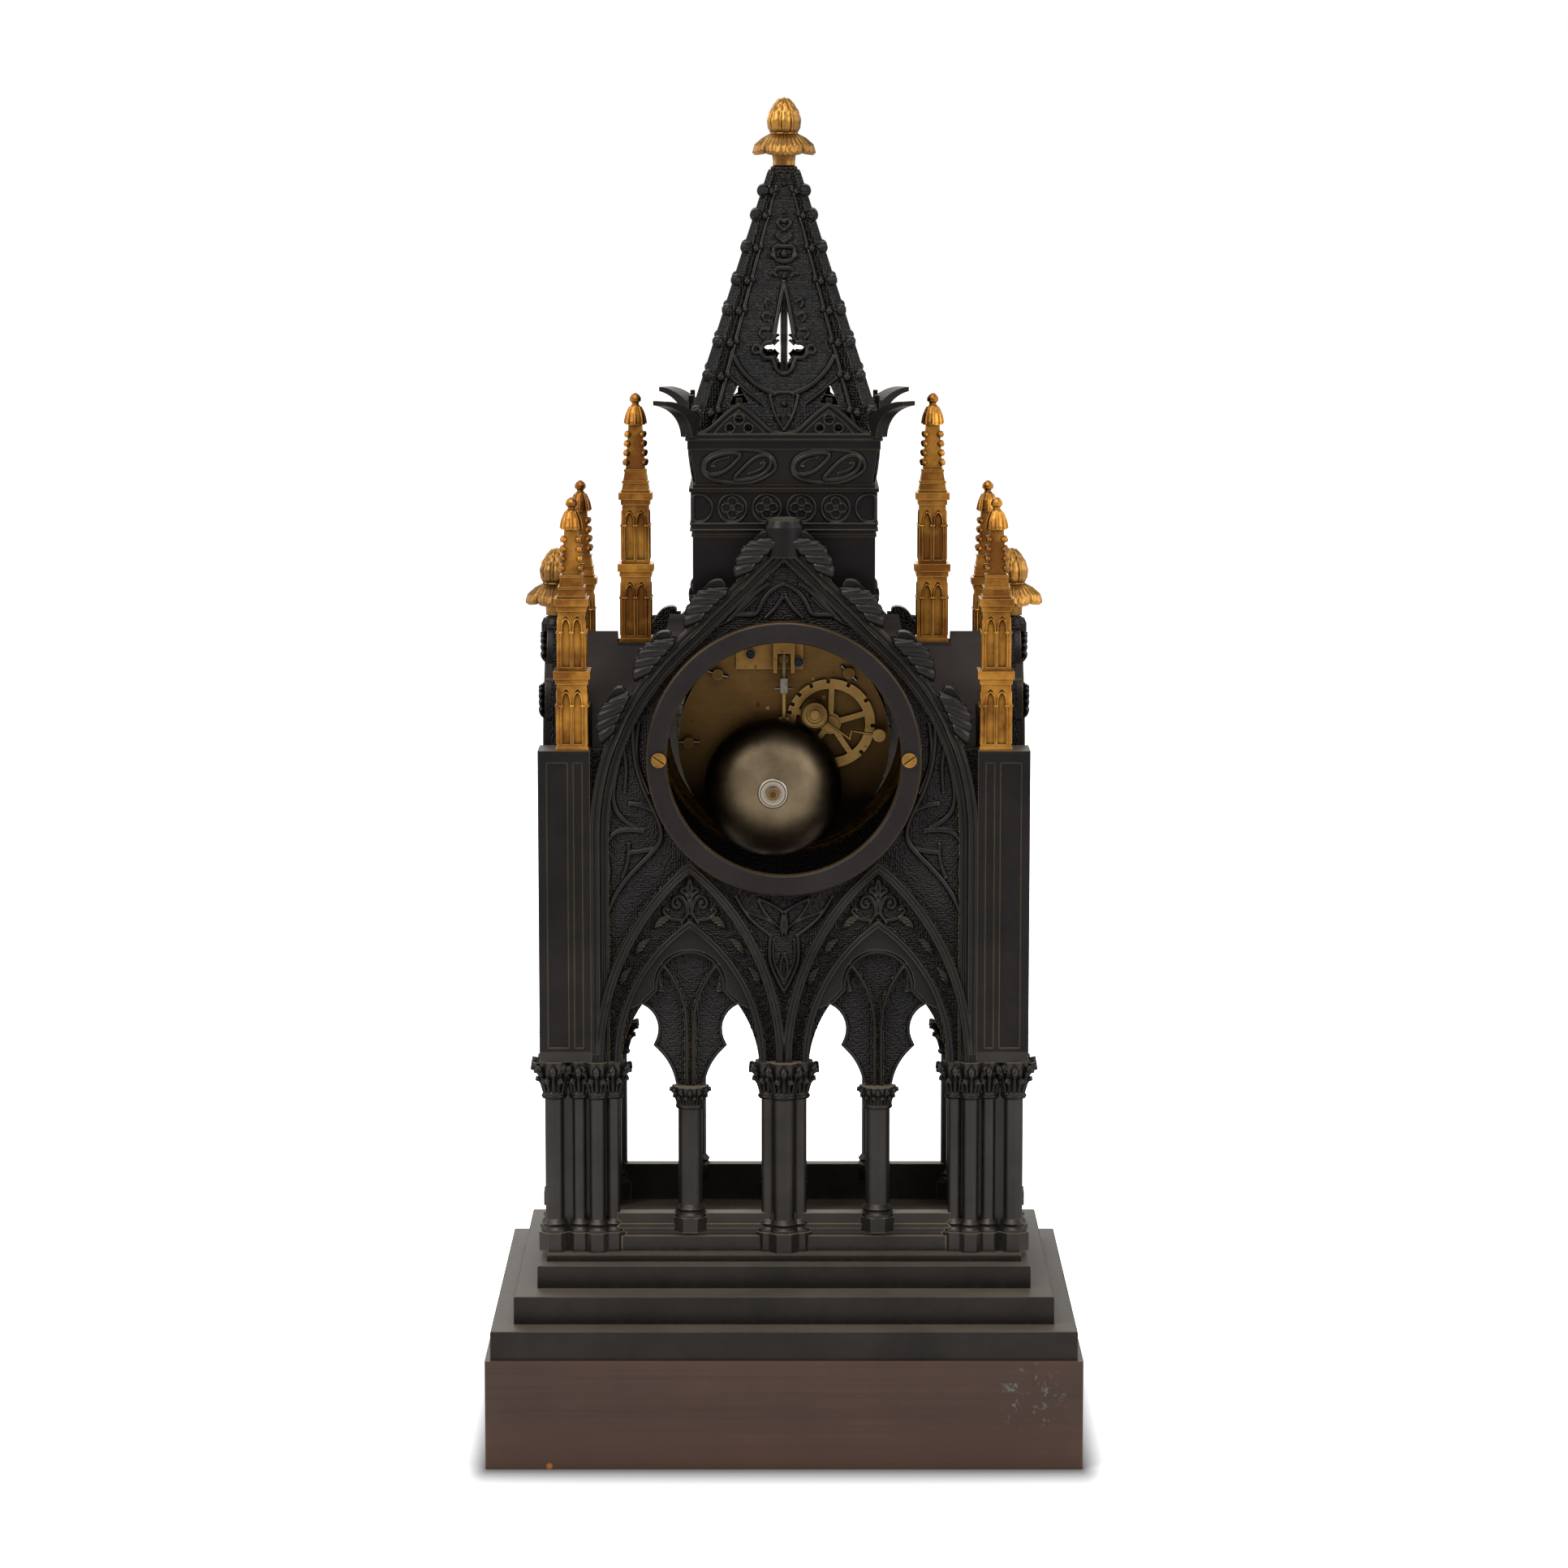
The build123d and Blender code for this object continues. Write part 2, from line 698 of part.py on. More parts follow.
# Crown: a wave on each face, with two ogee peaks over trefoil piercings, and a leaf horn at each corner
crown = slab(2 * cornice_half + 1.4, 2 * cornice_half + 1.4, block_top, spire_z)
crown -= slab(bore - 2, bore - 2, block_top - over, spire_z + over)
wave_peak = (18.4, spire_z + 11.8)
wave_end = (38.6, spire_z - 0.4)
wave_mid = (0.0, spire_z - 0.6)
wave_rise = [(35.4, 420.4), (31.2, 422.2), (27.0, 426.0), (22.4, 430.2)]
wave_fall = [(14.4, 430.2), (9.8, 426.0), (6.4, 422.6), (3.2, 420.9)]
wave_foot = spire_z - 2.0
wave_face = make_face(
    [
        Spline(wave_end, *wave_rise, wave_peak),
        Spline(wave_peak, *wave_fall, wave_mid),
        Polyline(wave_mid, (0.0, wave_foot), (wave_end[0], wave_foot), wave_end),
    ]
)
for u, z, r in ((18.4, 426.8, 1.9), (22.2, 423.2, 1.7), (14.6, 423.2, 1.7)):
    wave_face -= Pos(u, z) * Circle(r)
wave_face += Pos(wave_peak[0], wave_peak[1] + 0.4) * Rectangle(2.6, 4.4)
wave = layer(wave_face, 37.4, 39.4)
wave += mirror_u(wave)
for k in range(4):
    crown += Rot(0, 0, 90 * k) * upright(wave)
horn_low = [(56.4, spire_z - 1.5), (57.6, 424.2), (60.6, 428.2), (65.6, 431.3), (horn_reach, horn_tip_z)]
horn_high = [(horn_reach, horn_tip_z + 1.9), (64.8, 434.0), (58.4, 431.6), (53.4, 428.4), (49.5, 424.5)]
horn_face = make_face(
    [
        Spline(*horn_low),
        Line(horn_low[-1], horn_high[0]),
        Spline(*horn_high),
        Polyline(horn_high[-1], (49.5, spire_z - 1.5), horn_low[0]),
    ]
)
horn = upright(layer(horn_face, -3.4, 3.4))
for k in range(4):
    crown += Rot(0, 0, 45 + 90 * k) * horn
crown -= spire_hull
for spire_rib in spire_ribs:
    crown -= spire_rib
save("spire_crown", crown)

# Tie rod, from the tower seat up into the top finial
rod_reach = 11.0
save("spire_rod", rod((0, 0), rod_r, seat_room, spire_top + rod_reach))


# Bud finials
def finial(on_rod):
    body = turned(
        [
            (0, 0),
            (4.3, 0),
            (4.8, 4.8),
            (6.4, 5.6),
            (11.6, 5.2),
            (finial_r - 0.4, 4.6),
            (finial_r, 6.4),
            (12.0, 9.2),
            (9.0, 12.0),
            (5.4, 14.0),
            (6.5, 16.4),
            (7.0, 18.6),
            (6.6, 21.8),
            (5.0, 25.4),
            (2.7, 28.0),
            (0.8, finial_h),
            (0, finial_h),
        ]
    )
    for k in range(4):
        notch = Pos(finial_r + 2.6, 0, 7.0) * Cylinder(3.6, 9.0)
        body -= Rot(0, 0, 45 + 90 * k) * notch
    if on_rod:
        return body - Pos(0, 0, (rod_reach - over) / 2) * Cylinder(rod_r, rod_reach + over)
    return body + Pos(0, 0, -stud_len / 2 + 0.5) * Cylinder(stud_r, stud_len - 1)


save("finial_top", Pos(0, 0, spire_top) * finial(True))
save("finial_right", Pos(side_mid, 0, side_knob_top) * finial(False))
save("finial_left", Pos(-side_mid, 0, side_knob_top) * finial(False))


# Pinnacles
niche_u = 2.35
niche_half = 1.7
bead_r = 1.15
bead_len = 1.8
needle_z = 72.1
hat_z = 90.6


def blind_pair(z0, z1, face_half):
    niche = pointed_arch(niche_half, z1 - 3.4, z1, z0)
    cut = layer(Pos(niche_u, 0) * niche, face_half, face_half + 3)
    return upright(cut + mirror_u(cut))


def pinnacle():
    body = slab(13.4, 13.4, 0, 1.6)
    body += frustum(6.35, 6.15, 1.6, 28.0)
    body += slab(13.4, 13.4, 27.4, 29.6)
    body += slab(pinnacle_w + 0.6, pinnacle_w + 0.6, 29.6, 32.8)
    body += frustum(5.9, 5.5, 32.8, 58.0)
    body += slab(12.2, 12.2, 57.4, 59.6)
    body += slab(pinnacle_w - 0.4, pinnacle_w - 0.4, 59.6, 62.6)
    body += frustum(5.8, 4.3, 62.6, needle_z)
    for width, z in ((11.9, 62.6), (11.2, 66.4), (9.5, needle_z - 1.0)):
        body += slab(width, width, z, z + 1.0)
    body += frustum(4.0, 2.8, needle_z, hat_z + 1)
    for row in range(4):
        z = needle_z + 2.8 + 3.9 * row
        out = 3.9 - 0.24 * row
        for k in range(4):
            stud = Pos(out, out, z) * Rot(0, 0, 45) * Rot(0, 90, 0) * Cylinder(bead_r, bead_len)
            body += Rot(0, 0, 90 * k) * stud
    lower = blind_pair(2.6, 25.6, 5.4)
    upper = blind_pair(34.4, 55.6, 4.8)
    for k in range(4):
        body -= Rot(0, 0, 90 * k) * lower
        body -= Rot(0, 0, 90 * k) * upper
    hat = [(0, hat_z), (4.25, hat_z), (4.2, hat_z + 1.4), (3.6, hat_z + 4.8), (2.4, hat_z + 7.4)]
    bead = [(1.5, hat_z + 8.4), (1.5, hat_z + 9.0), (2.4, hat_z + 9.8), (2.4, hat_z + 11.2), (1.6, 103.0)]
    body += turned(hat + bead + [(0.6, pinnacle_h), (0, pinnacle_h)])
    return body + Pos(0, 0, -stud_len / 2 + 0.5) * Cylinder(stud_r, stud_len - 1)


spirelet = pinnacle()
pinnacle_spots = {
    "front_right": (pinnacle_x, -pinnacle_y, shoulder_z),
    "front_left": (-pinnacle_x, -pinnacle_y, shoulder_z),
    "back_right": (pinnacle_x, pinnacle_y, shoulder_z),
    "back_left": (-pinnacle_x, pinnacle_y, shoulder_z),
    "roof_right": (roof_pinnacle_x, 0, roof_pinnacle_z),
    "roof_left": (-roof_pinnacle_x, 0, roof_pinnacle_z),
}
for name, spot in pinnacle_spots.items():
    save(f"pinnacle_{name}", Pos(*spot) * spirelet)


# Everything on the movement's axis is drawn flat, depth towards the dial, then stood up here
def stand(shape):
    return Pos(0, 0, axis_z) * Rot(90, 0, 0) * shape


def hoop(r0, r1, n0, n1):
    return Pos(0, 0, (n0 + n1) / 2) * (Cylinder(r1, n1 - n0) - Cylinder(r0, n1 - n0 + over))


# Rear ring, its screws, and the straps
ring_face = wall_face + flange_t
rear_ring = hoop(ring_in, ring_out, -ring_face, -wall_face)
outer_edges = rear_ring.edges().filter_by(GeomType.CIRCLE).group_by(Axis.Z)[0]
rear_ring = fillet(outer_edges, 1.4)
rear_ring += hoop(spigot_in, spigot_r, -wall_face - over, -wall_face + spigot_len)
straps = []
screws = []
for side in (-1, 1):
    at = (side * strap_u, 0)
    rear_ring -= rod(at, screw_r, -ring_face - over, -wall_face + over)
    strap = Pos(at[0], 0, 0) * Box(strap_t, strap_h, 2 * wall_face)
    strap += Pos(side * (strap_u - 0.5), 0, -wall_face + 4) * Box(strap_t + 1, strap_h, 8)
    strap -= rod(at, screw_r, -wall_face - over, -wall_face + 9)
    straps.append(stand(strap))
    screw = rod(at, screw_r, -ring_face, -wall_face + 7) + rod(at, screw_head_r, -ring_face - 1.7, -ring_face)
    slot = Pos(at[0], 0, -ring_face - 1.7) * Rot(0, 0, 35 * side) * Box(2 * screw_head_r + over, 0.8, 1.6)
    screws.append(stand(screw - slot))
save("rear_ring", stand(rear_ring))
save("ring_screws", Compound(children=screws))
save("movement_straps", Compound(children=straps))

# Front bezel with the fixed knuckles and the hinge pin
door_n = wall_face + 4.0
hinge_n = door_n + 1.6
knuckle = 4.0
knuckle_end = 10.0
front_bezel = hoop(ring_in, ring_out, wall_face, door_n)
front_bezel += hoop(spigot_in, spigot_r, wall_face - spigot_len, wall_face + over)


def upright_pin(r, h0, h1):
    return Pos(hinge_u, (h0 + h1) / 2, hinge_n) * Rot(90, 0, 0) * Cylinder(r, h1 - h0)


for side in (-1, 1):
    low = side * (knuckle + 0.35)
    high = side * knuckle_end
    h0 = min(low, high)
    h1 = max(low, high)
    front_bezel += block(53.5, hinge_u, h0, h1, wall_face, door_n - 0.1)
    front_bezel += upright_pin(hinge_r, h0, h1)
front_bezel += upright_pin(hinge_pin_r, -knuckle_end, knuckle_end)
save("front_bezel", stand(front_bezel))

# Door: hinged bezel and domed glass
lip_n = door_n + door_gap + 4.4
door_profile = [
    (glass_r + 0.1, door_n + door_gap),
    (door_r, door_n + door_gap),
    (door_r, door_n + 2.8),
    (door_r - 2.2, lip_n + 1.7),
    (door_in, lip_n + 1.7),
    (door_in, lip_n),
    (glass_r + 0.1, lip_n),
]
door = turned(door_profile)
door += block(door_r - 2.5, hinge_u, -knuckle, knuckle, door_n + door_gap + 0.2, hinge_n + hinge_r)
door += upright_pin(hinge_r, -knuckle, knuckle)
door -= upright_pin(hinge_pin_r + run_fit, -knuckle - over, knuckle + over)
door += block(-door_r - 3.2, -door_r + 1.5, -3.0, 3.0, door_n + door_gap + 0.6, door_n + 3.4)
save("door_bezel", stand(door))
dome_out = door_in - 0.3
dome_r = (dome_out**2 + glass_rise**2) / (2 * glass_rise)
dome_at = Pos(0, 0, lip_n + glass_rise - dome_r)
glass = dome_at * Sphere(dome_r) & rod((0, 0), dome_out, lip_n - 0.5, lip_n + glass_rise + over)
glass += rod((0, 0), glass_r, lip_n - glass_t, lip_n)
glass -= dome_at * Sphere(dome_r - glass_t)
save("door_glass", stand(glass))

# Dial with its feet
foot_r = 1.3
foot_ring = 35.0
pipe_r = 1.9
hour_pipe_r = 3.0
dial = rod((0, 0), dial_r, dial_back, wall_face)
dial -= rod((0, 0), hour_pipe_r + 0.6, dial_back - over, wall_face + over)
for at in (going_barrel_at, strike_barrel_at):
    dial -= rod(at, winder_r + 1.6, dial_back - over, wall_face + over)
for angle in (60, 180, 300):
    at = (foot_ring * cos(radians(angle)), foot_ring * sin(radians(angle)))
    dial += rod(at, foot_r, front_out, dial_back)
save("dial", stand(dial))


# Gears
def gear_face(teeth, pitch_r, phase):
    module = 2 * pitch_r / teeth
    tip = pitch_r + 0.75 * module
    root = pitch_r - 1.25 * module
    step = 2 * pi / teeth
    points = []
    for k in range(teeth):
        for r, share in ((root, -0.22), (tip, -0.06), (tip, 0.06), (root, 0.22)):
            angle = phase + (k + share) * step
            points.append((r * cos(angle), r * sin(angle)))
    return make_face(Polyline(*points, close=True))


def gear(at, teeth, pitch_r, n0, n1, phase):
    return Pos(at[0], at[1], 0) * layer(gear_face(teeth, pitch_r, phase), n0, n1)


def wheel(at, teeth, pitch_r, n0, n1, phase):
    face = gear_face(teeth, pitch_r, phase)
    for k in range(4):
        angle = k * pi / 2 + pi / 4
        face -= Pos(0.56 * pitch_r * cos(angle), 0.56 * pitch_r * sin(angle)) * Circle(0.29 * pitch_r)
    return Pos(at[0], at[1], 0) * layer(face, n0, n1)


def meshed(at, teeth, phase, other_at, other_teeth):
    line = atan2(other_at[1] - at[1], other_at[0] - at[0])
    here = teeth * (line - phase) / (2 * pi)
    return line + pi - (0.5 - here) * 2 * pi / other_teeth


def meet(a, ra, b, rb, side):
    d = hypot(b[0] - a[0], b[1] - a[1])
    along = (ra**2 - rb**2 + d**2) / (2 * d)
    off = side * sqrt(ra**2 - along**2)
    u = ((b[0] - a[0]) / d, (b[1] - a[1]) / d)
    return (a[0] + along * u[0] - off * u[1], a[1] + along * u[1] + off * u[0])


def polar(at, r, angle):
    return (at[0] + r * cos(radians(angle)), at[1] + r * sin(radians(angle)))


def pivot(r):
    return min(pivot_r, r - pivot_step)


def arbor(at, r=arbor_r):
    body = rod(at, r, plate_t + shake, front_in - shake)
    return body + rod(at, pivot(r), pivot_sunk, front_out - pivot_sunk)


# Positions that follow from the tooth counts
middle_leaf_r = barrel_pitch_r * middle_leaves / barrel_teeth
centre_leaf_r = middle_pitch_r * centre_leaves / middle_teeth
third_leaf_r = centre_pitch_r * third_leaves / centre_teeth
escape_leaf_r = third_pitch_r * escape_leaves / third_teeth
middle_at = meet((0, 0), middle_pitch_r + centre_leaf_r, going_barrel_at, barrel_pitch_r + middle_leaf_r, -1)
third_at = meet((0, 0), centre_pitch_r + third_leaf_r, escape_at, third_pitch_r + escape_leaf_r, -1)
strike_gap = hypot(count_at[0] - strike_barrel_at[0], count_at[1] - strike_barrel_at[1])
strike_pitch_r = strike_gap * strike_teeth / (strike_teeth + second_leaves)
second_leaf_r = strike_gap - strike_pitch_r
pin_leaf_r = second_pitch_r * pin_leaves / second_teeth
pin_at = polar(count_at, second_pitch_r + pin_leaf_r, 75)
fly_leaf_r = pin_pitch_r * fly_leaves / pin_teeth
fly_at = polar(pin_at, pin_pitch_r + fly_leaf_r, 60)
minute_pitch_r = cannon_pitch_r * minute_teeth / cannon_leaves
hour_pitch_r = minute_leaf_r * hour_teeth / minute_leaves

# Tooth phases, each set so that the pair is in mesh at rest
middle_leaf_phase = meshed(going_barrel_at, barrel_teeth, 0.0, middle_at, middle_leaves)
centre_leaf_phase = meshed(middle_at, middle_teeth, 0.0, (0, 0), centre_leaves)
third_leaf_phase = meshed((0, 0), centre_teeth, 0.0, third_at, third_leaves)
escape_leaf_phase = meshed(third_at, third_teeth, 0.0, escape_at, escape_leaves)
minute_phase = meshed((0, 0), cannon_leaves, 0.0, minute_wheel_at, minute_teeth)
hour_phase = meshed(minute_wheel_at, minute_leaves, 0.0, (0, 0), hour_teeth)
second_leaf_phase = meshed(strike_barrel_at, strike_teeth, 0.0, count_at, second_leaves)
pin_leaf_phase = meshed(count_at, second_teeth, 0.0, pin_at, pin_leaves)
fly_leaf_phase = meshed(pin_at, pin_teeth, 0.0, fly_at, fly_leaves)

# Going train
drum_n0 = 14.0
drum_n1 = 36.0
rim_t = 2.0


def barrel(at, teeth, pitch_r, rim_n):
    body = gear(at, teeth, pitch_r, rim_n, rim_n + rim_t, 0.0)
    body += rod(at, drum_r, drum_n0, drum_n1)
    body += rod(at, winder_r + 2.5, drum_n0 - 1.5, drum_n0 + over)
    return body - rod(at, winder_r + run_fit, drum_n0 - 2.5, drum_n1 + over)


def winder(at):
    body = rod(at, winder_r, plate_t + shake, front_out + shake)
    body += rod(at, winder_r + 1.4, plate_t + 0.6, drum_n0 - 2.0)
    body += rod(at, winder_tail_r, pivot_sunk, plate_t + over)
    square = Pos(at[0], at[1], 0) * Rectangle(winder_square, winder_square)
    return body + layer(square, front_out, wall_face + 0.8)


save("going_barrel", stand(barrel(going_barrel_at, barrel_teeth, barrel_pitch_r, drum_n0)))
save("going_winder", stand(winder(going_barrel_at)))
middle = arbor(middle_at)
middle += wheel(middle_at, middle_teeth, middle_pitch_r, 8.0, 9.4, 0.0)
middle += gear(middle_at, middle_leaves, middle_leaf_r, 12.8, 17.0, middle_leaf_phase)
save("middle_wheel", stand(middle))
pipe_end = 58.6
centre = rod((0, 0), arbor_r + pivot_step, plate_t + shake, front_in - shake)
centre += rod((0, 0), pivot_r, pivot_sunk, plate_t + over)
centre += rod((0, 0), arbor_r, front_in - over, front_out + 1.4)
centre += wheel((0, 0), centre_teeth, centre_pitch_r, 4.9, 6.3, 0.0)
centre += gear((0, 0), centre_leaves, centre_leaf_r, 7.3, 10.2, centre_leaf_phase)
centre += gear((0, 0), cannon_leaves, cannon_pitch_r, front_out + 1.2, 45.8, 0.0)
centre += rod((0, 0), pipe_r, 45.0, pipe_end)
save("centre_wheel", stand(centre))
third = arbor(third_at, slim_r)
third += gear(third_at, third_leaves, third_leaf_r, 4.5, 7.4, third_leaf_phase)
third += wheel(third_at, third_teeth, third_pitch_r, 10.9, 12.1, 0.0)
save("third_wheel", stand(third))
escape_root_r = escape_tip_r - 1.3
escape_points = []
for k in range(escape_teeth):
    step = 2 * pi / escape_teeth
    for r, share in ((escape_root_r, 0.0), (escape_tip_r, 0.42), (escape_tip_r, 0.52), (escape_root_r, 0.62)):
        angle = (k + share) * step
        escape_points.append((r * cos(angle), r * sin(angle)))
escape_face = make_face(Polyline(*escape_points, close=True))
for k in range(4):
    escape_face -= Pos(4.6 * cos(k * pi / 2), 4.6 * sin(k * pi / 2)) * Circle(2.2)
escape = arbor(escape_at, slim_r)
escape += Pos(escape_at[0], escape_at[1], 0) * layer(escape_face, 3.2, 4.2)
escape += gear(escape_at, escape_leaves, escape_leaf_r, 10.2, 13.0, escape_leaf_phase)
save("escape_wheel", stand(escape))

# Crutch with pallets, suspension spring and its bracket
nib_r = escape_tip_r + 0.75
nib_angle = 52.0
anchor_face = make_face(
    [
        ThreePointArc((-9.4, 31.2), (0, 38.6), (9.4, 31.2)),
        Line((9.4, 31.2), polar(escape_at, nib_r, 90 - nib_angle)),
        Line(polar(escape_at, nib_r, 90 - nib_angle), (6.6, 31.6)),
        ThreePointArc((6.6, 31.6), (0, 34.2), (-6.6, 31.6)),
        Line((-6.6, 31.6), polar(escape_at, nib_r, 90 + nib_angle)),
        Line(polar(escape_at, nib_r, 90 + nib_angle), (-9.4, 31.2)),
    ]
)
crutch_n = -4.4
crutch = layer(anchor_face, 3.0, 4.4)
crutch += rod(pallet_at, slim_r, plate_t + shake, front_in - shake)
crutch += rod(pallet_at, pivot_r, crutch_n, front_out - pivot_sunk)
crutch_low = 9.5
crutch += block(-0.6, 0.6, crutch_low, pallet_at[1], crutch_n - 0.8, crutch_n + 0.8)
crutch += rod(pallet_at, 1.7, crutch_n - 0.8, crutch_n + 0.8)
fork_n = 0.8 - bell_rim
fork = block(-2.2, 2.2, crutch_low, crutch_low + 1.8, fork_n, crutch_n + 0.8)
fork -= block(-1.0, 1.0, crutch_low - over, crutch_low + 3, fork_n - over, fork_n + 2.6)
save("crutch", stand(crutch + fork))

spring_n = -8.6
spring_half = 2.0
spring_top = 39.5
hook_at = (0.0, 23.6)
spring = block(-0.12, 0.12, 26.0, spring_top, spring_n - spring_half, spring_n + spring_half)
spring += block(-1.5, 1.5, 21.8, 28.0, spring_n - spring_half, spring_n + spring_half)
spring += Pos(0, hook_at[1], spring_n) * Rot(0, 90, 0) * Cylinder(0.55, 7.6)
save("suspension_spring", stand(spring))

cheek_in = 3.0
cheek_out = 4.3
bracket_top = 43.0
bracket = block(-8.0, 20.0, 31.0, bracket_top, -1.5, 0) & rod((0, 0), plate_r - 0.6, -1.5, 0)
for side in (-1, 1):
    x0 = min(side * cheek_in, side * cheek_out)
    x1 = max(side * cheek_in, side * cheek_out)
    bracket += block(x0, x1, 30.5, bracket_top, spring_n - 2.6, -0.5)
bracket += block(-cheek_out, cheek_out, 38.6, bracket_top, spring_n - 2.6, spring_n + 2.6)
bracket -= block(-0.55, 0.55, 38.0, spring_top + 0.4, spring_n - 2.3, spring_n + 2.3)
bracket -= rod(pallet_at, 1.6, -2.0, 0.5)
for at in ((14.0, 37.3), (-6.2, 34.0)):
    bracket += rod(at, 2.2, -2.8, -1.4)
save("suspension_bracket", stand(bracket))

# Motion work and hands
stud = 0.9
minute_wheel = wheel(minute_wheel_at, minute_teeth, minute_pitch_r, 42.0, 43.2, minute_phase)
minute_wheel += gear(minute_wheel_at, minute_leaves, minute_leaf_r, 43.0, 48.0, 0.0)
minute_wheel -= rod(minute_wheel_at, stud + run_fit, 41.0, 49.0)
save("minute_wheel", stand(minute_wheel))
hour_end = 56.2
hour_wheel = wheel((0, 0), hour_teeth, hour_pitch_r, 46.3, 47.3, hour_phase)
hour_wheel += rod((0, 0), hour_pipe_r, 46.3, hour_end)
hour_wheel -= rod((0, 0), pipe_r + run_fit, 46.0, hour_end + over)
save("hour_wheel", stand(hour_wheel))


def hand(length, width, bore_r, eye_r, n0, n1, angle):
    eye = length * 0.72
    waist = width * 0.35
    blade = make_face(Polyline((-width, 0), (width, 0), (waist, eye), (-waist, eye), close=True))
    tip = make_face(Polyline((-width * 0.5, eye), (width * 0.5, eye), (0, length), close=True))
    shape = blade + tip + Circle(bore_r + 1.7) + Pos(0, eye) * Circle(eye_r)
    shape -= Pos(0, eye) * Circle(eye_r * 0.6)
    shape -= Circle(bore_r)
    return layer(Rot(0, 0, -angle) * shape, n0, n1)


save("minute_hand", stand(hand(minute_len, 1.3, pipe_r, 2.6, 57.4, 58.2, minute_angle)))
save("hour_hand", stand(hand(hour_len, 1.5, hour_pipe_r, 3.0, 54.9, 55.7, hour_angle)))

# Strike train
strike_rim = drum_n1 - rim_t
save("strike_barrel", stand(barrel(strike_barrel_at, strike_teeth, strike_pitch_r, strike_rim)))
save("strike_winder", stand(winder(strike_barrel_at)))
count_n0 = -2.4
count_n1 = -1.2
second = rod(count_at, arbor_r + pivot_step, plate_t + shake, front_in - shake)
second += rod(count_at, pivot_r, front_in - over, front_out - pivot_sunk)
second += rod(count_at, arbor_r, -4.4, plate_t + over)
second += wheel(count_at, second_teeth, second_pitch_r, 11.2, 12.5, 0.0)
second += gear(count_at, second_leaves, second_leaf_r, 33.2, 36.6, second_leaf_phase)
save("second_wheel", stand(second))
count_r = 18.7
notch_w = 1.6
notch_deep = 1.8
count_turn = 7.0
spokes = 5
all_blows = sum(range(1, 13)) + 12
count_face = Circle(count_r)
blows = 0
for hour in range(1, 13):
    blows += hour + 1
    angle = 360.0 * blows / all_blows + count_turn
    count_face -= Rot(0, 0, angle) * Pos(count_r, 0) * Rectangle(2 * notch_deep, notch_w)
opening = Circle(count_r - 4.0) - Circle(4.4)
for k in range(spokes):
    opening -= Rot(0, 0, 360 / spokes * k + 20) * Pos(count_r / 2, 0) * Rectangle(count_r, 2.2)
count_face -= opening
count_wheel = Pos(count_at[0], count_at[1], 0) * layer(count_face, count_n0, count_n1)
count_wheel += rod(count_at, 3.2, -3.8, count_n1)
count_wheel -= rod(count_at, arbor_r, -5.0, 0)
save("count_wheel", stand(count_wheel))
lift_pins = 10
lift_ring = 6.9
lift_pin_r = 0.5
pin_wheel = arbor(pin_at, fine_r)
pin_wheel += wheel(pin_at, pin_teeth, pin_pitch_r, 7.7, 9.0, 0.0)
pin_wheel += gear(pin_at, pin_leaves, pin_leaf_r, 10.8, 13.2, pin_leaf_phase)
for k in range(lift_pins):
    pin_wheel += rod(polar(pin_at, lift_ring, 360 / lift_pins * k), lift_pin_r, 8.5, 10.4)
save("pin_wheel", stand(pin_wheel))
vane_r = 6.8
fly = arbor(fly_at, fly_r)
fly += gear(fly_at, fly_leaves, fly_leaf_r, 7.0, 9.8, fly_leaf_phase)
fly += Pos(fly_at[0], fly_at[1], 0) * Rot(0, 0, 30) * block(-vane_r, vane_r, -0.35, 0.35, 16.0, 33.0)
fly += rod(fly_at, 1.3, 15.0, 34.0)
save("fly", stand(fly))

# Hammer, bell and post
arm_n = -9.0
hammer = arbor(hammer_at) + rod(hammer_at, pivot_r, arm_n - 2.5, plate_t)
hammer += rod(hammer_at, 2.6, arm_n - 2.2, arm_n + 2.2)
wire_r = 0.6
wire_bends = [head_at, (-27.7, 2.4), (-28.4, 5.7), hammer_at]
for start, end in zip(wire_bends, wire_bends[1:]):
    run = hypot(end[0] - start[0], end[1] - start[1])
    turn = degrees(atan2(end[1] - start[1], end[0] - start[0]))
    wire = Pos(start[0], start[1], arm_n) * Rot(0, 0, turn) * Pos(run / 2, 0, 0)
    hammer += wire * Rot(0, 90, 0) * Cylinder(wire_r, run)
    hammer += Pos(end[0], end[1], arm_n) * Sphere(wire_r + 0.15)
head_back = [(0, -17.0), (2.2, -17.0), (2.6, -16.2), (4.6, -16.0), (head_r, -14.8)]
head_front = [(head_r, -8.4), (4.8, -7.0), (0, -7.0)]
head = turned(head_back + head_front)
hammer += Pos(head_at[0], head_at[1], 0) * head
tail_angle = degrees(atan2(pin_at[1] - hammer_at[1], pin_at[0] - hammer_at[0]))
tail_gap = 0.6
tail_len = hypot(pin_at[0] - hammer_at[0], pin_at[1] - hammer_at[1]) - lift_ring - lift_pin_r - tail_gap
tail = Rot(0, 0, tail_angle) * block(0, tail_len, -0.8, 0.8, 9.2, 10.2)
hammer += Pos(hammer_at[0], hammer_at[1], 0) * tail
save("hammer", stand(hammer))

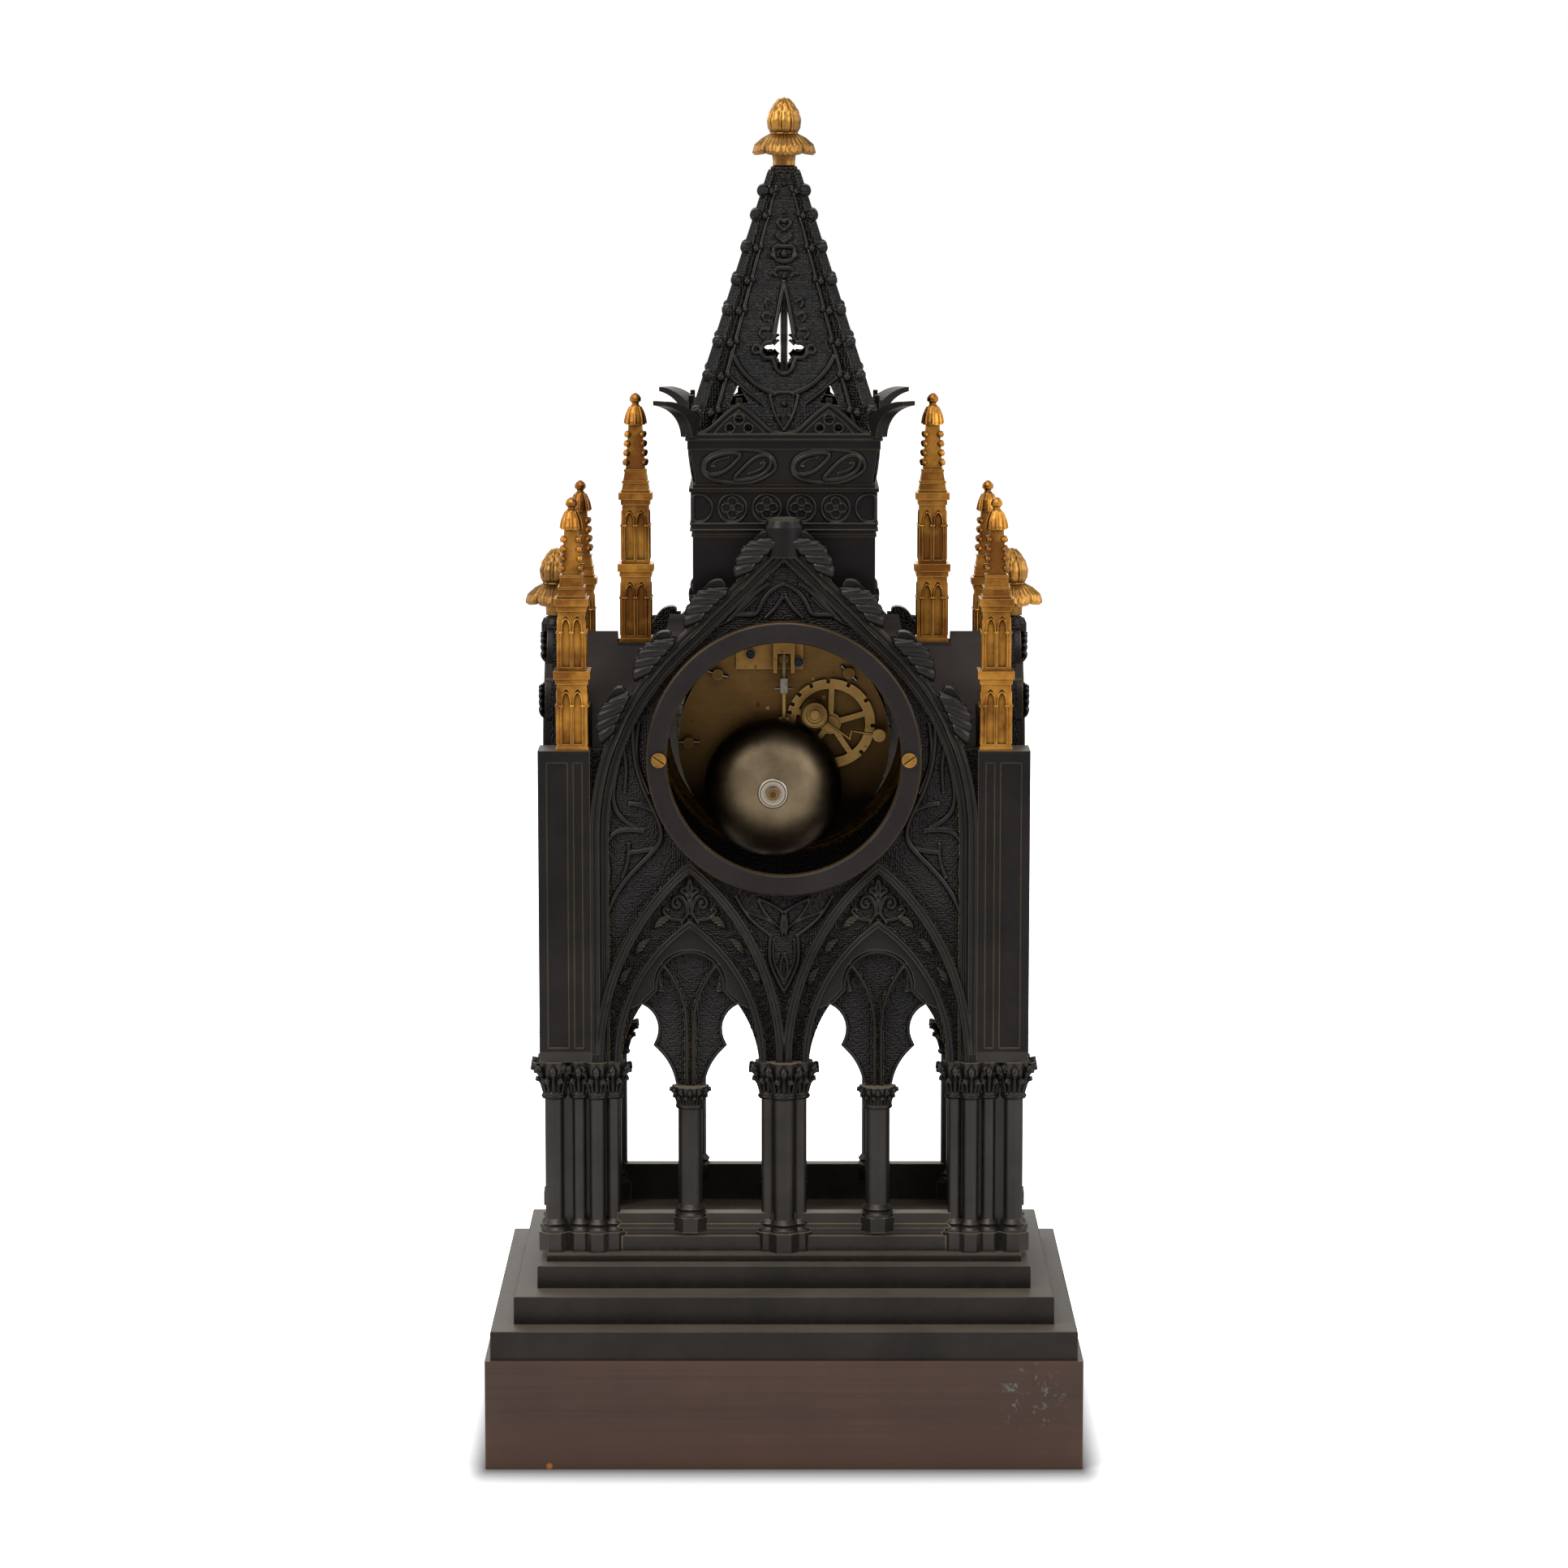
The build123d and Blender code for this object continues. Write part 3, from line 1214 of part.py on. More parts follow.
bell_curve = [(1.0, 0.0), (0.985, 0.237), (0.9, 0.553), (0.68, 0.821), (0.36, 0.963)]
bell_h = bell_crown - bell_rim
bell_outer = [(bell_r * out, bell_rim + bell_h * up) for out, up in bell_curve]
crown_edge = (bell_post_r + 1.6, bell_crown)
bell_inner = []
for r, n in reversed(bell_outer):
    up = (n - bell_rim) / bell_h
    bell_inner.append((r * (1 - bell_t / bell_r) - 0.4 * bell_t * up, n - bell_t * up))
bell_profile = make_face(
    [
        Spline(*bell_outer, crown_edge),
        Line(crown_edge, (bell_post_r, bell_crown)),
        Line((bell_post_r, bell_crown), (bell_post_r, bell_crown - bell_t)),
        Line((bell_post_r, bell_crown - bell_t), (crown_edge[0], bell_crown - bell_t)),
        Spline((crown_edge[0], bell_crown - bell_t), *bell_inner),
        Line(bell_inner[-1], bell_outer[0]),
    ]
)
bell = mirror(revolve(Plane.XZ * bell_profile, axis=Axis.Z), about=Plane.XY)
save("bell", stand(Pos(bell_at[0], bell_at[1], 0) * bell))
post = turned(
    [
        (0, -plate_t),
        (bell_post_r, -plate_t),
        (bell_post_r, 0),
        (2.7, 0),
        (2.7, 2.0),
        (1.9, 4.0),
        (1.9, 14.0),
        (3.4, bell_crown - bell_t - 3.0),
        (3.4, bell_crown - bell_t),
        (bell_post_r, bell_crown - bell_t),
        (bell_post_r, bell_crown),
        (5.2, bell_crown),
        (5.0, bell_crown + 0.9),
        (1.6, bell_crown + 0.9),
        (1.6, bell_crown + 4.4),
        (0, bell_crown + 4.4),
    ]
)
nut = Pos(0, 0, bell_crown + 0.9) * extrude(RegularPolygon(3.0, 6), amount=2.6)
post = mirror(post + nut, about=Plane.XY)
save("bell_post", stand(Pos(bell_at[0], bell_at[1], 0) * post))

# Plates, pillars and taper pins
pivots = [(middle_at, arbor_r), (third_at, slim_r), (escape_at, slim_r), (pin_at, fine_r), (fly_at, fly_r)]
back_plate = rod((0, 0), plate_r, 0, plate_t)
front_plate = rod((0, 0), plate_r, front_in, front_out)
for at, r in pivots:
    back_plate -= rod(at, pivot(r) + run_fit, -over, plate_t + over)
    front_plate -= rod(at, pivot(r) + run_fit, front_in - over, front_out + over)
for at in (hammer_at, pallet_at, (0, 0)):
    back_plate -= rod(at, pivot_r + run_fit, -over, plate_t + over)
for at in (hammer_at, pallet_at, count_at):
    front_plate -= rod(at, pivot_r + run_fit, front_in - over, front_out + over)
back_plate -= rod(count_at, arbor_r + run_fit, -over, plate_t + over)
front_plate -= rod((0, 0), arbor_r + run_fit, front_in - over, front_out + over)
front_plate += rod(minute_wheel_at, stud, front_out - over, 48.4)
for at in (going_barrel_at, strike_barrel_at):
    back_plate -= rod(at, winder_tail_r + run_fit, -over, plate_t + over)
    front_plate -= rod(at, winder_r + run_fit, front_in - over, front_out + over)
back_plate -= rod(bell_at, bell_post_r, -over, plate_t + over)
pillars = []
pins = []
for angle in pillar_angles:
    at = polar((0, 0), pillar_ring, angle)
    back_plate -= rod(at, pillar_end_r, -over, plate_t + over)
    front_plate -= rod(at, pillar_end_r, front_in - over, front_out + over)
    pillar = rod(at, pillar_r, plate_t, front_in) + rod(at, pillar_end_r, -pillar_end_len, front_out)
    pillar += rod(at, pillar_r + 0.7, plate_t, plate_t + 3) + rod(at, pillar_r + 0.7, front_in - 3, front_in)
    bar = Rot(0, 0, angle / 3) * Rot(0, 90, 0) * Cylinder(taper_pin_r, taper_pin_len)
    bar = Pos(at[0], at[1], -taper_pin_r) * bar
    pillars.append(stand(pillar - bar))
    pins.append(stand(bar))
save("back_plate", stand(back_plate))
save("front_plate", stand(front_plate))
save("plate_pillars", Compound(children=pillars))
save("pillar_pins", Compound(children=pins))
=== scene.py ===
from itertools import product
from math import atan2, cos, degrees, hypot, pi, radians, sin, sqrt

import bpy
from mathutils import Matrix, Vector


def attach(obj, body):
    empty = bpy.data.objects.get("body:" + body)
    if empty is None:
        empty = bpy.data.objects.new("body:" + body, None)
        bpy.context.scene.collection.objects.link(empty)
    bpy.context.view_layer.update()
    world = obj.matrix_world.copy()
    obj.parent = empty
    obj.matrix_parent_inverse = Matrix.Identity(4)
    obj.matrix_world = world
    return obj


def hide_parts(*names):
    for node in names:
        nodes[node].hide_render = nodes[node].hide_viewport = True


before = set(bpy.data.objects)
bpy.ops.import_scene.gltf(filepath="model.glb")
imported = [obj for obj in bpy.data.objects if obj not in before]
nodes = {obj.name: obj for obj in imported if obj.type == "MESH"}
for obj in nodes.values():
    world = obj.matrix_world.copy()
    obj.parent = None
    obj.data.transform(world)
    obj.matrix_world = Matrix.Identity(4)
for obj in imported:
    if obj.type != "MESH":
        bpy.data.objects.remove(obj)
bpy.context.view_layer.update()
mm = 0.001

# Places that several pieces share, in millimetres
axis_z = 288.6  # height of the dial's middle
bell_x, bell_z = 4.6, axis_z - 18.0
bay = 38.9  # from the wall's middle to the middle of a bay
bay_arch = (31.5, 161.6, 221.2)  # half width, spring and apex
outer_arch = (39.7, 161.6, 246.2)
spire_foot, spire_top = 421.0, 528.5
spire_wide, spire_narrow = 36.0, 4.2  # half widths at foot and top


# Camera, light and floor
def studio():
    scene = bpy.context.scene
    scene.view_settings.view_transform = "Standard"
    bpy.ops.object.camera_add(location=(0, 2.032, 0.558), rotation=(radians(81.95), 0, radians(180)))
    camera = bpy.context.object
    sensor = 36
    focal, picture = 6000, 1932  # in pixels
    camera.data.sensor_width = sensor
    camera.data.lens = sensor * focal / picture
    scene.camera = camera

    for name, at, aim, size, power in (
        ("key_lamp", (1.3, 1.2, 1.5), 0.3, 1.0, 27),
        ("fill_lamp", (-1.5, 1.2, 1.1), 0.3, 1.1, 21),
        ("dial_lamp", (0.3, -1.8, 1.3), 0.3, 1.6, 26),
        ("top_lamp", (0.1, 0.7, 2.1), 0.2, 1.0, 17),
        ("right_lamp", (2.0, -0.7, 1.0), 0.3, 1.4, 18),
        ("left_lamp", (-2.0, -0.7, 1.0), 0.3, 1.4, 18),
    ):
        bpy.ops.object.light_add(type="AREA", location=at)
        lamp = bpy.context.object
        lamp.name = name
        lamp.data.size = size
        lamp.data.energy = power
        lamp.rotation_euler = (Vector((0, 0, aim)) - Vector(at)).to_track_quat("-Z", "Y").to_euler()

    bpy.ops.mesh.primitive_circle_add(vertices=64, radius=9, fill_type="NGON", location=(0, 0, 0))
    floor = bpy.context.object
    floor.name = "floor"
    return floor


# Finishes
def srgb(red, green, blue):
    linear = []
    for value in (red, green, blue):
        share = value / 255
        linear.append(share / 12.92 if share <= 0.04045 else ((share + 0.055) / 1.055) ** 2.4)
    return (*linear, 1.0)


class Tone:
    """A socket in a material, so that sums of sockets read as sums."""

    def __init__(self, tree, socket=None):
        self.tree = tree
        self.socket = socket

    def add(self, kind, inputs=None, out=0, **settings):
        node = self.tree.nodes.new("ShaderNode" + kind)
        for key, value in settings.items():
            setattr(node, key, value)
        for key, value in (inputs or {}).items():
            if isinstance(value, Tone):
                self.tree.links.new(value.socket, node.inputs[key])
            else:
                node.inputs[key].default_value = value
        return Tone(self.tree, node.outputs[out])

    def into(self, shader, name):
        self.tree.links.new(self.socket, shader.inputs[name])

    def math(self, operation, *values):
        return self.add("Math", dict(enumerate(values)), operation=operation)

    def call(self, operation, *others):
        return self.math(operation, self, *others)

    def __add__(self, other):
        return self.math("ADD", self, other)

    __radd__ = __add__

    def __sub__(self, other):
        return self.math("SUBTRACT", self, other)

    def __rsub__(self, other):
        return self.math("SUBTRACT", other, self)

    def __mul__(self, other):
        return self.math("MULTIPLY", self, other)

    __rmul__ = __mul__

    def __truediv__(self, other):
        return self.math("DIVIDE", self, other)

    def clamp(self, low=0.0, high=1.0):
        """0 up to the low value, 1 from the high value on."""
        return self.add("MapRange", {0: self, 1: low, 2: high}, clamp=True)

    def mix(self, share, low, high):
        """A blend of two colours, which a Mix node takes at its sockets 6 and 7."""
        low, high = (value if isinstance(value, Tone) else srgb(*value) for value in (low, high))
        return self.add("Mix", {0: share, 6: low, 7: high}, out=2, data_type="RGBA")

    def grey(self):
        return self.add("CombineColor", {0: self, 1: self, 2: self})

    def spot(self):
        return self.add("TexCoord", out="Object")

    def place(self, scale=(1, 1, 1), move=(0, 0, 0)):
        return self.add("Mapping", {"Vector": self.spot(), "Location": move, "Scale": scale})

    def along(self, axis, vector=None):
        """The X, Y or Z of the place on the clock, or of another vector."""
        return self.add("SeparateXYZ", {0: vector or self.spot()}, out=axis)

    def polar(self, x=0.0, z=axis_z):
        """How far sideways, up and straight out from the dial's axis or another one."""
        spot = self.place(move=(-x * mm, 0, -z * mm))
        aside, up = (self.along(axis, spot) for axis in "XZ")
        return aside, up, (aside * aside + up * up).call("SQRT")

    def noise(self, scale, detail=4.0, rough=0.6, stretch=(1, 1, 1)):
        where = self.place(stretch)
        return self.add("TexNoise", {"Vector": where, "Scale": scale, "Detail": detail, "Roughness": rough})

    def hollow(self, reach):
        """1 in the open, towards 0 in a corner or recess."""
        return self.add("AmbientOcclusion", {"Distance": reach}, out="AO", samples=6)

    def normal(self):
        return self.add("NewGeometry", out="Normal")

    def worn_edge(self, radius):
        """Towards 1 along sharp edges."""
        soft = self.add("Bevel", {"Radius": radius}, samples=6)
        return 1.0 - self.add("VectorMath", {0: soft, 1: self.normal()}, out="Value", operation="DOT_PRODUCT")

    def rubbed(self, radius):
        return (self.worn_edge(radius) * 4.0).clamp(0.05, 0.8)

    def ray(self, kind):
        return self.add("LightPath", out="Is " + kind + " Ray")


def material(name, **values):
    """A new material and the values that are the same all over it."""
    made = bpy.data.materials.new(name)
    made.use_nodes = True
    shader = made.node_tree.nodes["Principled BSDF"]
    for key, value in values.items():
        shader.inputs[key.replace("_", " ")].default_value = value
    return made, Tone(made.node_tree), shader


def feed(made, shader, colour, roughness, bump=None, strength=0.0, reach=0.0):
    colour.into(shader, "Base Color")
    roughness.into(shader, "Roughness")
    if bump:
        colour.add("Bump", {"Height": bump, "Strength": strength, "Distance": reach}).into(shader, "Normal")
    return made


def patina(name, dark, worn, dust, edge, stipple=0.0, ground=None, deep=0.75, foot=0.0):
    """Patinated bronze: a dark skin, rubbed on the edges, with painted shade darkening the hollows, dusty in
    the hollows and on ledges.

    The ground of a carved wall is punched. Below the height of its foot a pier is greyer.
    """
    made, tone, shader = material(name, Specular_Tint=(0.5, 0.5, 0.5, 1))
    cloud = tone.noise(38, 5)
    fine = tone.noise(420, 3, 0.7)
    open_air = tone.hollow(0.006)
    rubbed = (tone.worn_edge(0.0009) * 5.0 * (cloud + 0.1)).clamp(0.15, 0.95)
    ledge = tone.along("Z", tone.normal()).clamp(0.75, 0.98) * (0.55 + cloud * 0.7)
    dusty = ((1.0 - open_air) * 1.3 * (fine + 0.15)).clamp(0.25, 1.2) * 0.5 + ledge
    dusty = dusty.clamp()
    colour = tone.mix((cloud * 1.6 - 0.35).clamp(), dark, worn)
    if foot:
        below = tone.along("Z").call("LESS_THAN", foot)
        colour = tone.mix(below * (0.12 + cloud * 0.28), colour, (88, 84, 80))
    # Painted shade: the hollows darken towards near-black, by as much as deep asks.
    colour = tone.mix((1.0 - open_air).clamp(0.1, 0.7) * deep, colour, (12, 11, 11))
    colour = tone.mix(dusty * 0.9, colour, dust)
    colour = tone.mix(rubbed * 0.8, colour, edge)
    roughness = 0.31 + fine * 0.14 - rubbed * 0.08 + dusty * 0.3
    (0.9 - dusty * 0.9).into(shader, "Metallic")
    grain = fine * 0.5 + cloud * 0.3
    strength, reach = 0.3, 0.0003
    if stipple:
        punched = tone.add("TexVoronoi", {"Vector": tone.place(), "Scale": stipple, "Randomness": 0.55})
        punched = (punched * 1.6).clamp() * 1.4
        if ground:
            axis, limit = ground
            punched = punched * tone.along(axis).call("ABSOLUTE").call("LESS_THAN", limit)
        grain = punched + fine * 0.2
        strength, reach = 0.75, 0.0005
    return feed(made, shader, colour, roughness, grain, strength, reach)


def dull_roof():
    """The roof sheet: the same dark skin, matt, with a faint grey bloom."""
    made, tone, shader = material("roof_bronze", Specular_IOR_Level=0.0)
    cloud = tone.noise(22, 5)
    fine = tone.noise(420, 3, 0.7)
    colour = tone.mix((cloud * 1.8 - 0.4).clamp(), (42, 39, 37), (64, 58, 55))
    return feed(made, shader, colour, 0.5 + fine * 0.2, fine * 0.5 + cloud * 0.3, 0.25, 0.0003)


def gilding(name, light, brown, deep, bright, aged=0.0):
    """Old gilding: bright on the edges, browned in patches and higher up, with painted shade darkening the
    grooves nearly to black.
    """
    made, tone, shader = material(name, Metallic=1.0)
    cloud = tone.noise(60, 5)
    fine = tone.noise(700, 3, 0.7)
    rubbed = tone.rubbed(0.0005)
    bare = (cloud * 3.4 - 1.25 - tone.along("Z").clamp(0.33, 0.37) * aged).clamp()
    colour = tone.mix(bare, brown, light)
    # Painted shade: the grooves darken towards the deep colour.
    colour = tone.mix((1.0 - tone.hollow(0.0035)).clamp(0.12, 0.55), colour, deep)
    colour = tone.mix(rubbed * 0.8, colour, bright)
    return feed(made, shader, colour, 0.3 + fine * 0.22 - rubbed * 0.1, fine * 0.6 + cloud * 0.4, 0.3, 0.0002)


def old_brass(name, light, dull, deep, lower_painted_shade=0.0):
    """Movement brass: brushed, dulled in clouds, with dark spots, and painted shade in its hollows; its last
    argument sets how much painted shade blackens its lower half.
    """
    made, tone, shader = material(name, Metallic=1.0)
    cloud = tone.noise(55, 6)
    brushed = tone.noise(260, 3, 0.6, (0.12, 1.0, 2.2))
    spots = tone.noise(300, 2, 0.5)
    up = tone.polar()[1]
    colour = tone.mix((cloud * 2.2 - 0.6).clamp(), dull, light)
    colour = tone.mix((brushed - 0.45).clamp(0.0, 0.5) * 0.35, colour, dull)
    colour = tone.mix((spots - 0.66).clamp(0.0, 0.1) * 0.7, colour, deep)
    # Painted shade: dark halos in the hollows, round parts that stand close in front.
    colour = tone.mix((1.0 - tone.hollow(0.005)).clamp(0.12, 0.7) * 0.9, colour, deep)
    colour = tone.mix(tone.rubbed(0.0004) * 0.7, colour, (204, 168, 108))
    # Painted shade: darker below the dial's axis, for the shade inside the ring.
    low = (0.036 - up).clamp(0.0, 0.062) * (0.75 + cloud * 0.5)
    colour = tone.mix((low * lower_painted_shade).clamp(), colour, deep)
    return feed(made, shader, colour, 0.34 + cloud * 0.2, brushed, 0.2, 0.0001)


def steel(name, light, dull, rough=0.28):
    made, tone, shader = material(name, Metallic=1.0)
    cloud = tone.noise(160, 4)
    drawn = tone.noise(500, 2, 0.6, (1, 1, 0.15))
    colour = tone.mix((cloud * 2.0 - 0.5).clamp(), dull, light)
    return feed(made, shader, colour, rough + cloud * 0.2, drawn, 0.15, 0.0001)


def bell_fastening():
    """What holds the bell: a pale steel washer under a brass nut, and the darker tip of the post."""
    made, tone, shader = material("bell_fastening", Metallic=1.0)
    nut_foot, nut_top = 0.02897, 0.0316
    cloud = tone.noise(160, 4)
    back = tone.along("Y")
    colour = tone.mix(back.call("GREATER_THAN", nut_foot), (172, 162, 146), (128, 97, 58))
    colour = tone.mix(back.call("GREATER_THAN", nut_top), colour, (86, 66, 42))
    # Painted shade: the hollows round the nut and washer darken.
    colour = tone.mix((1.0 - tone.hollow(0.003)).clamp(0.1, 0.6) * 0.85, colour, (40, 32, 22))
    colour = tone.mix(tone.rubbed(0.0004) * 0.6, colour, (214, 198, 170))
    return feed(made, shader, colour, 0.3 + cloud * 0.15, cloud, 0.2, 0.0001)


def plinth_brown():
    """The lowest block: brown, brushed sideways, with green specks near a corner, a bare chip below and a foot
    lightened by painted light.
    """
    made, tone, shader = material("brown_bronze", Metallic=0.45)
    cloud = tone.noise(14, 5, 0.65)
    brushed = tone.noise(120, 4, 0.65, (0.05, 0.05, 3.0))
    fine = tone.noise(600, 2)
    rubbed = (tone.worn_edge(0.0014) * 4.0 * (cloud + 0.2)).clamp(0.1, 0.9)
    colour = tone.mix((cloud * 1.8 - 0.4).clamp(), (56, 40, 33), (74, 53, 44))
    colour = tone.mix((brushed - 0.42).clamp(0.0, 0.3) * 0.5, colour, (45, 34, 29))
    colour = tone.mix(rubbed * 0.5, colour, (92, 73, 58))
    # Painted light: the lowest 24 mm is lighter, standing in for light thrown back up from the floor.
    low = 1.0 - tone.along("Z").clamp(0.0, 0.024)
    colour = tone.mix(low * 0.4, colour, (104, 77, 63))
    for centre, size, tint, bare in (
        ((-0.102, 0.094, 0.031), 0.017, (96, 102, 94), 0.57),
        ((-0.110, 0.094, 0.028), 0.010, (104, 112, 104), 0.62),
        ((0.0962, 0.094, 0.0014), 0.0016, (190, 112, 52), 0.0),
    ):
        far = tone.add("VectorMath", {0: tone.spot(), 1: centre}, out="Value", operation="DISTANCE")
        patch = (1.0 - far / size).clamp(0.0, 0.5)
        speckle = (tone.noise(260, 5, 0.75) - bare).clamp(0.0, 0.05) if bare else 1.0
        colour = tone.mix(patch * speckle * 0.8, colour, tint)
    return feed(made, shader, colour, 0.44 + fine * 0.14 + cloud * 0.08, brushed + fine * 0.2, 0.3, 0.0002)


def ring_dark():
    """The rear ring: dark, turned, with thin brass-coloured painted highlights along both rims."""
    made, tone, shader = material("ring_bronze", Metallic=0.85)
    radius = tone.polar()[2]
    cloud = tone.noise(45, 5)
    fine = tone.noise(500, 3)
    # Painted highlight: brass-coloured bands, a little glossier, along the outer and inner rims.
    outer = (radius - 0.0559).clamp(0.0, 0.0005)
    inner = (0.0485 - radius).clamp(0.0, 0.0004)
    rim = (outer + inner).clamp() * (0.35 + cloud)
    colour = tone.mix((cloud * 1.8 - 0.4).clamp(), (31, 28, 27), (46, 41, 40))
    colour = tone.mix(rim.clamp() * 0.85, colour, (112, 87, 52))
    return feed(made, shader, colour, 0.4 + fine * 0.16 - rim * 0.1, fine, 0.25, 0.0002)


def bell_grey():
    """Bell metal: turned in fine circles, darker towards the mouth."""
    made, tone, shader = material("bell_metal", Metallic=1.0)
    radius = tone.polar(bell_x, bell_z)[2]
    cloud = tone.noise(70, 6, 0.65)
    fine = tone.noise(800, 3, 0.7)
    turned = (radius * 5200.0).call("SINE")
    colour = tone.mix((cloud * 2.2 - 0.6).clamp(), (100, 86, 66), (138, 122, 98))
    colour = tone.mix((radius - 0.0195).clamp(0.0, 0.0092) * 0.92, colour, (38, 30, 21))
    colour = tone.mix((fine - 0.6).clamp(0.0, 0.2) * 0.4, colour, (90, 74, 54))
    return feed(made, shader, colour, 0.36 + cloud * 0.16, turned * 0.3 + fine, 0.12, 0.0001)


def enamel():
    """White dial with a minute track between two fine circles."""
    made, tone, shader = material("dial_enamel")
    x, z, radius = tone.polar()
    turn = x.call("ARCTAN2", z) / (2 * pi)
    track_inner, track_middle, track_outer = 0.0438, 0.0449, 0.0460

    def drawn(away, half, soft):
        return (1.0 - away.call("ABSOLUTE") / half).clamp(0.0, soft)

    circles = drawn(radius - track_inner, 0.00014, 0.5) + drawn(radius - track_outer, 0.00014, 0.5)
    thin = drawn((turn * 60.0 + 60.5).call("FRACT") - 0.5, 0.045, 0.4)
    bold = drawn((turn * 12.0 + 12.5).call("FRACT") - 0.5, 0.022, 0.4)
    ink = (circles + (thin + bold) * drawn(radius - track_middle, 0.0011, 0.08)).clamp()
    cloud = tone.noise(30, 4)
    crackle = tone.add("TexVoronoi", {"Vector": tone.place(), "Scale": 60.0}, feature="DISTANCE_TO_EDGE")
    hair = (1.0 - crackle / 0.004).clamp() * (cloud - 0.5).clamp(0.0, 0.2) * 0.25
    white = tone.mix((cloud * 1.6 - 0.3).clamp(), (236, 231, 218), (246, 243, 235))
    white = tone.mix(hair, white, (150, 135, 110))
    return feed(made, shader, tone.mix(ink, white, (20, 18, 20)), 0.16 + cloud * 0.08, cloud, 0.04, 0.0002)


def clear_glass():
    made, tone, shader = material("door_glass", Transmission_Weight=1.0, IOR=1.45)
    smear = tone.noise(25, 5)
    tint = tone.mix(smear, (244, 248, 246), (255, 255, 255))
    return feed(made, shader, tint, smear * 0.05)


def pale_floor():
    """White to the camera away from the object, with the object's own shadow left on it and a painted contact
    shadow darkening it round the plinth's foot.
    """
    made, tone, shader = material("pale_floor", Roughness=0.9, Specular_IOR_Level=0.0, Emission_Strength=1.0)
    away = []
    for axis, half, quick in (("X", 0.1215, 2.6), ("Y", 0.093, 1.0)):
        side = tone.along(axis).call("ABSOLUTE") - half
        away.append(side.call("MAXIMUM", 0.0) * quick)
    far = (away[0] * away[0] + away[1] * away[1]).call("SQRT")
    # Painted contact shadow: within 5 cm of the plinth, quicker at its sides, the floor's colour and its glow
    # to the camera fall away.
    near = 1.0 - far.clamp(0.0, 0.05)
    seen = (tone.ray("Camera") + tone.ray("Transmission")).clamp()
    (0.84 - near * 0.75).grey().into(shader, "Base Color")
    ((1.0 - near) * seen).grey().into(shader, "Emission Color")
    return made


def pale_world():
    """White to the camera and through glass, weaker in reflections and as light."""
    world = bpy.data.worlds.new("pale_room")
    bpy.context.scene.world = world
    world.use_nodes = True
    back = world.node_tree.nodes["Background"]
    back.inputs["Color"].default_value = (1, 1, 1, 1)
    tone = Tone(world.node_tree)
    seen = (tone.ray("Camera") + tone.ray("Transmission") + tone.ray("Glossy") * 0.25).clamp()
    (0.42 + seen * 0.58).into(back, "Strength")


# Modelling helpers
def clear():
    bpy.ops.object.select_all(action="DESELECT")


def only(piece):
    clear()
    piece.select_set(True)
    bpy.context.view_layer.objects.active = piece


def move(x, y, z):
    return Matrix.Translation((x * mm, y * mm, z * mm))


def sized(x, y=None, z=None):
    """A scale along each axis, or the same along all three."""
    return Matrix.Diagonal((x, y or x, z or x, 1))


def axes(along, up, out):
    """Turns a piece's own X, Y and Z to these directions."""
    return Matrix((along, up, out)).transposed().to_4x4()


mirror = sized(-1, 1, 1)


def circle(count, r, u=0.0, v=0.0):
    """Points evenly round a circle."""
    return [(u + r * cos(2 * pi * k / count), v + r * sin(2 * pi * k / count)) for k in range(count)]


def primitive(name, kind, **sizes):
    clear()
    getattr(bpy.ops.mesh, "primitive_" + kind + "_add")(**sizes)
    piece = bpy.context.object
    piece.name = name
    return piece


def meshed(name, curve):
    piece = bpy.data.objects.new(name, curve)
    bpy.context.scene.collection.objects.link(piece)
    only(piece)
    bpy.ops.object.convert(target="MESH")
    return bpy.context.object


def strokes(name, lines, sides=1, smooth=True):
    """Raised lines, each given as its points, its half thicknesses and whether it closes; one piece."""
    curve = bpy.data.curves.new(name, "CURVE")
    curve.dimensions = "3D"
    curve.bevel_depth = mm
    curve.bevel_resolution = sides
    curve.use_fill_caps = True
    curve.resolution_u = 4
    for points, thick, closed in lines:
        spline = curve.splines.new("NURBS" if smooth else "POLY")
        spline.points.add(len(points) - 1)
        for k, (knot, place) in enumerate(zip(spline.points, points)):
            knot.co = (place[0] * mm, place[1] * mm, place[2] * mm, 1)
            knot.radius = thick[k] if isinstance(thick, list) else thick
        spline.use_cyclic_u = closed
        if smooth:
            spline.order_u = 3
            spline.use_endpoint_u = not closed
    piece = meshed(name, curve)
    bpy.ops.object.shade_smooth()
    return piece


def shaped_ball(name, segments, rings, shape):
    """A closed turned form: a sphere whose every point is set from its turn and its share of the height."""
    piece = primitive(name, "uv_sphere", segments=segments, ring_count=rings, radius=1)
    for vertex in piece.data.vertices:
        turn = atan2(vertex.co.y, vertex.co.x)
        share = (degrees(atan2(vertex.co.z, hypot(vertex.co.x, vertex.co.y))) + 90) / 180
        vertex.co = Vector(shape(turn, share)) * mm
    only(piece)
    bpy.ops.object.mode_set(mode="EDIT")
    bpy.ops.mesh.select_all(action="SELECT")
    bpy.ops.mesh.remove_doubles(threshold=0.00001)
    bpy.ops.mesh.normals_make_consistent(inside=False)
    bpy.ops.object.mode_set(mode="OBJECT")
    bpy.ops.object.shade_smooth()
    return piece


def ball(name, radius, segments=10, rings=6):
    piece = primitive(name, "uv_sphere", segments=segments, ring_count=rings, radius=radius * mm)
    bpy.ops.object.shade_smooth()
    return piece


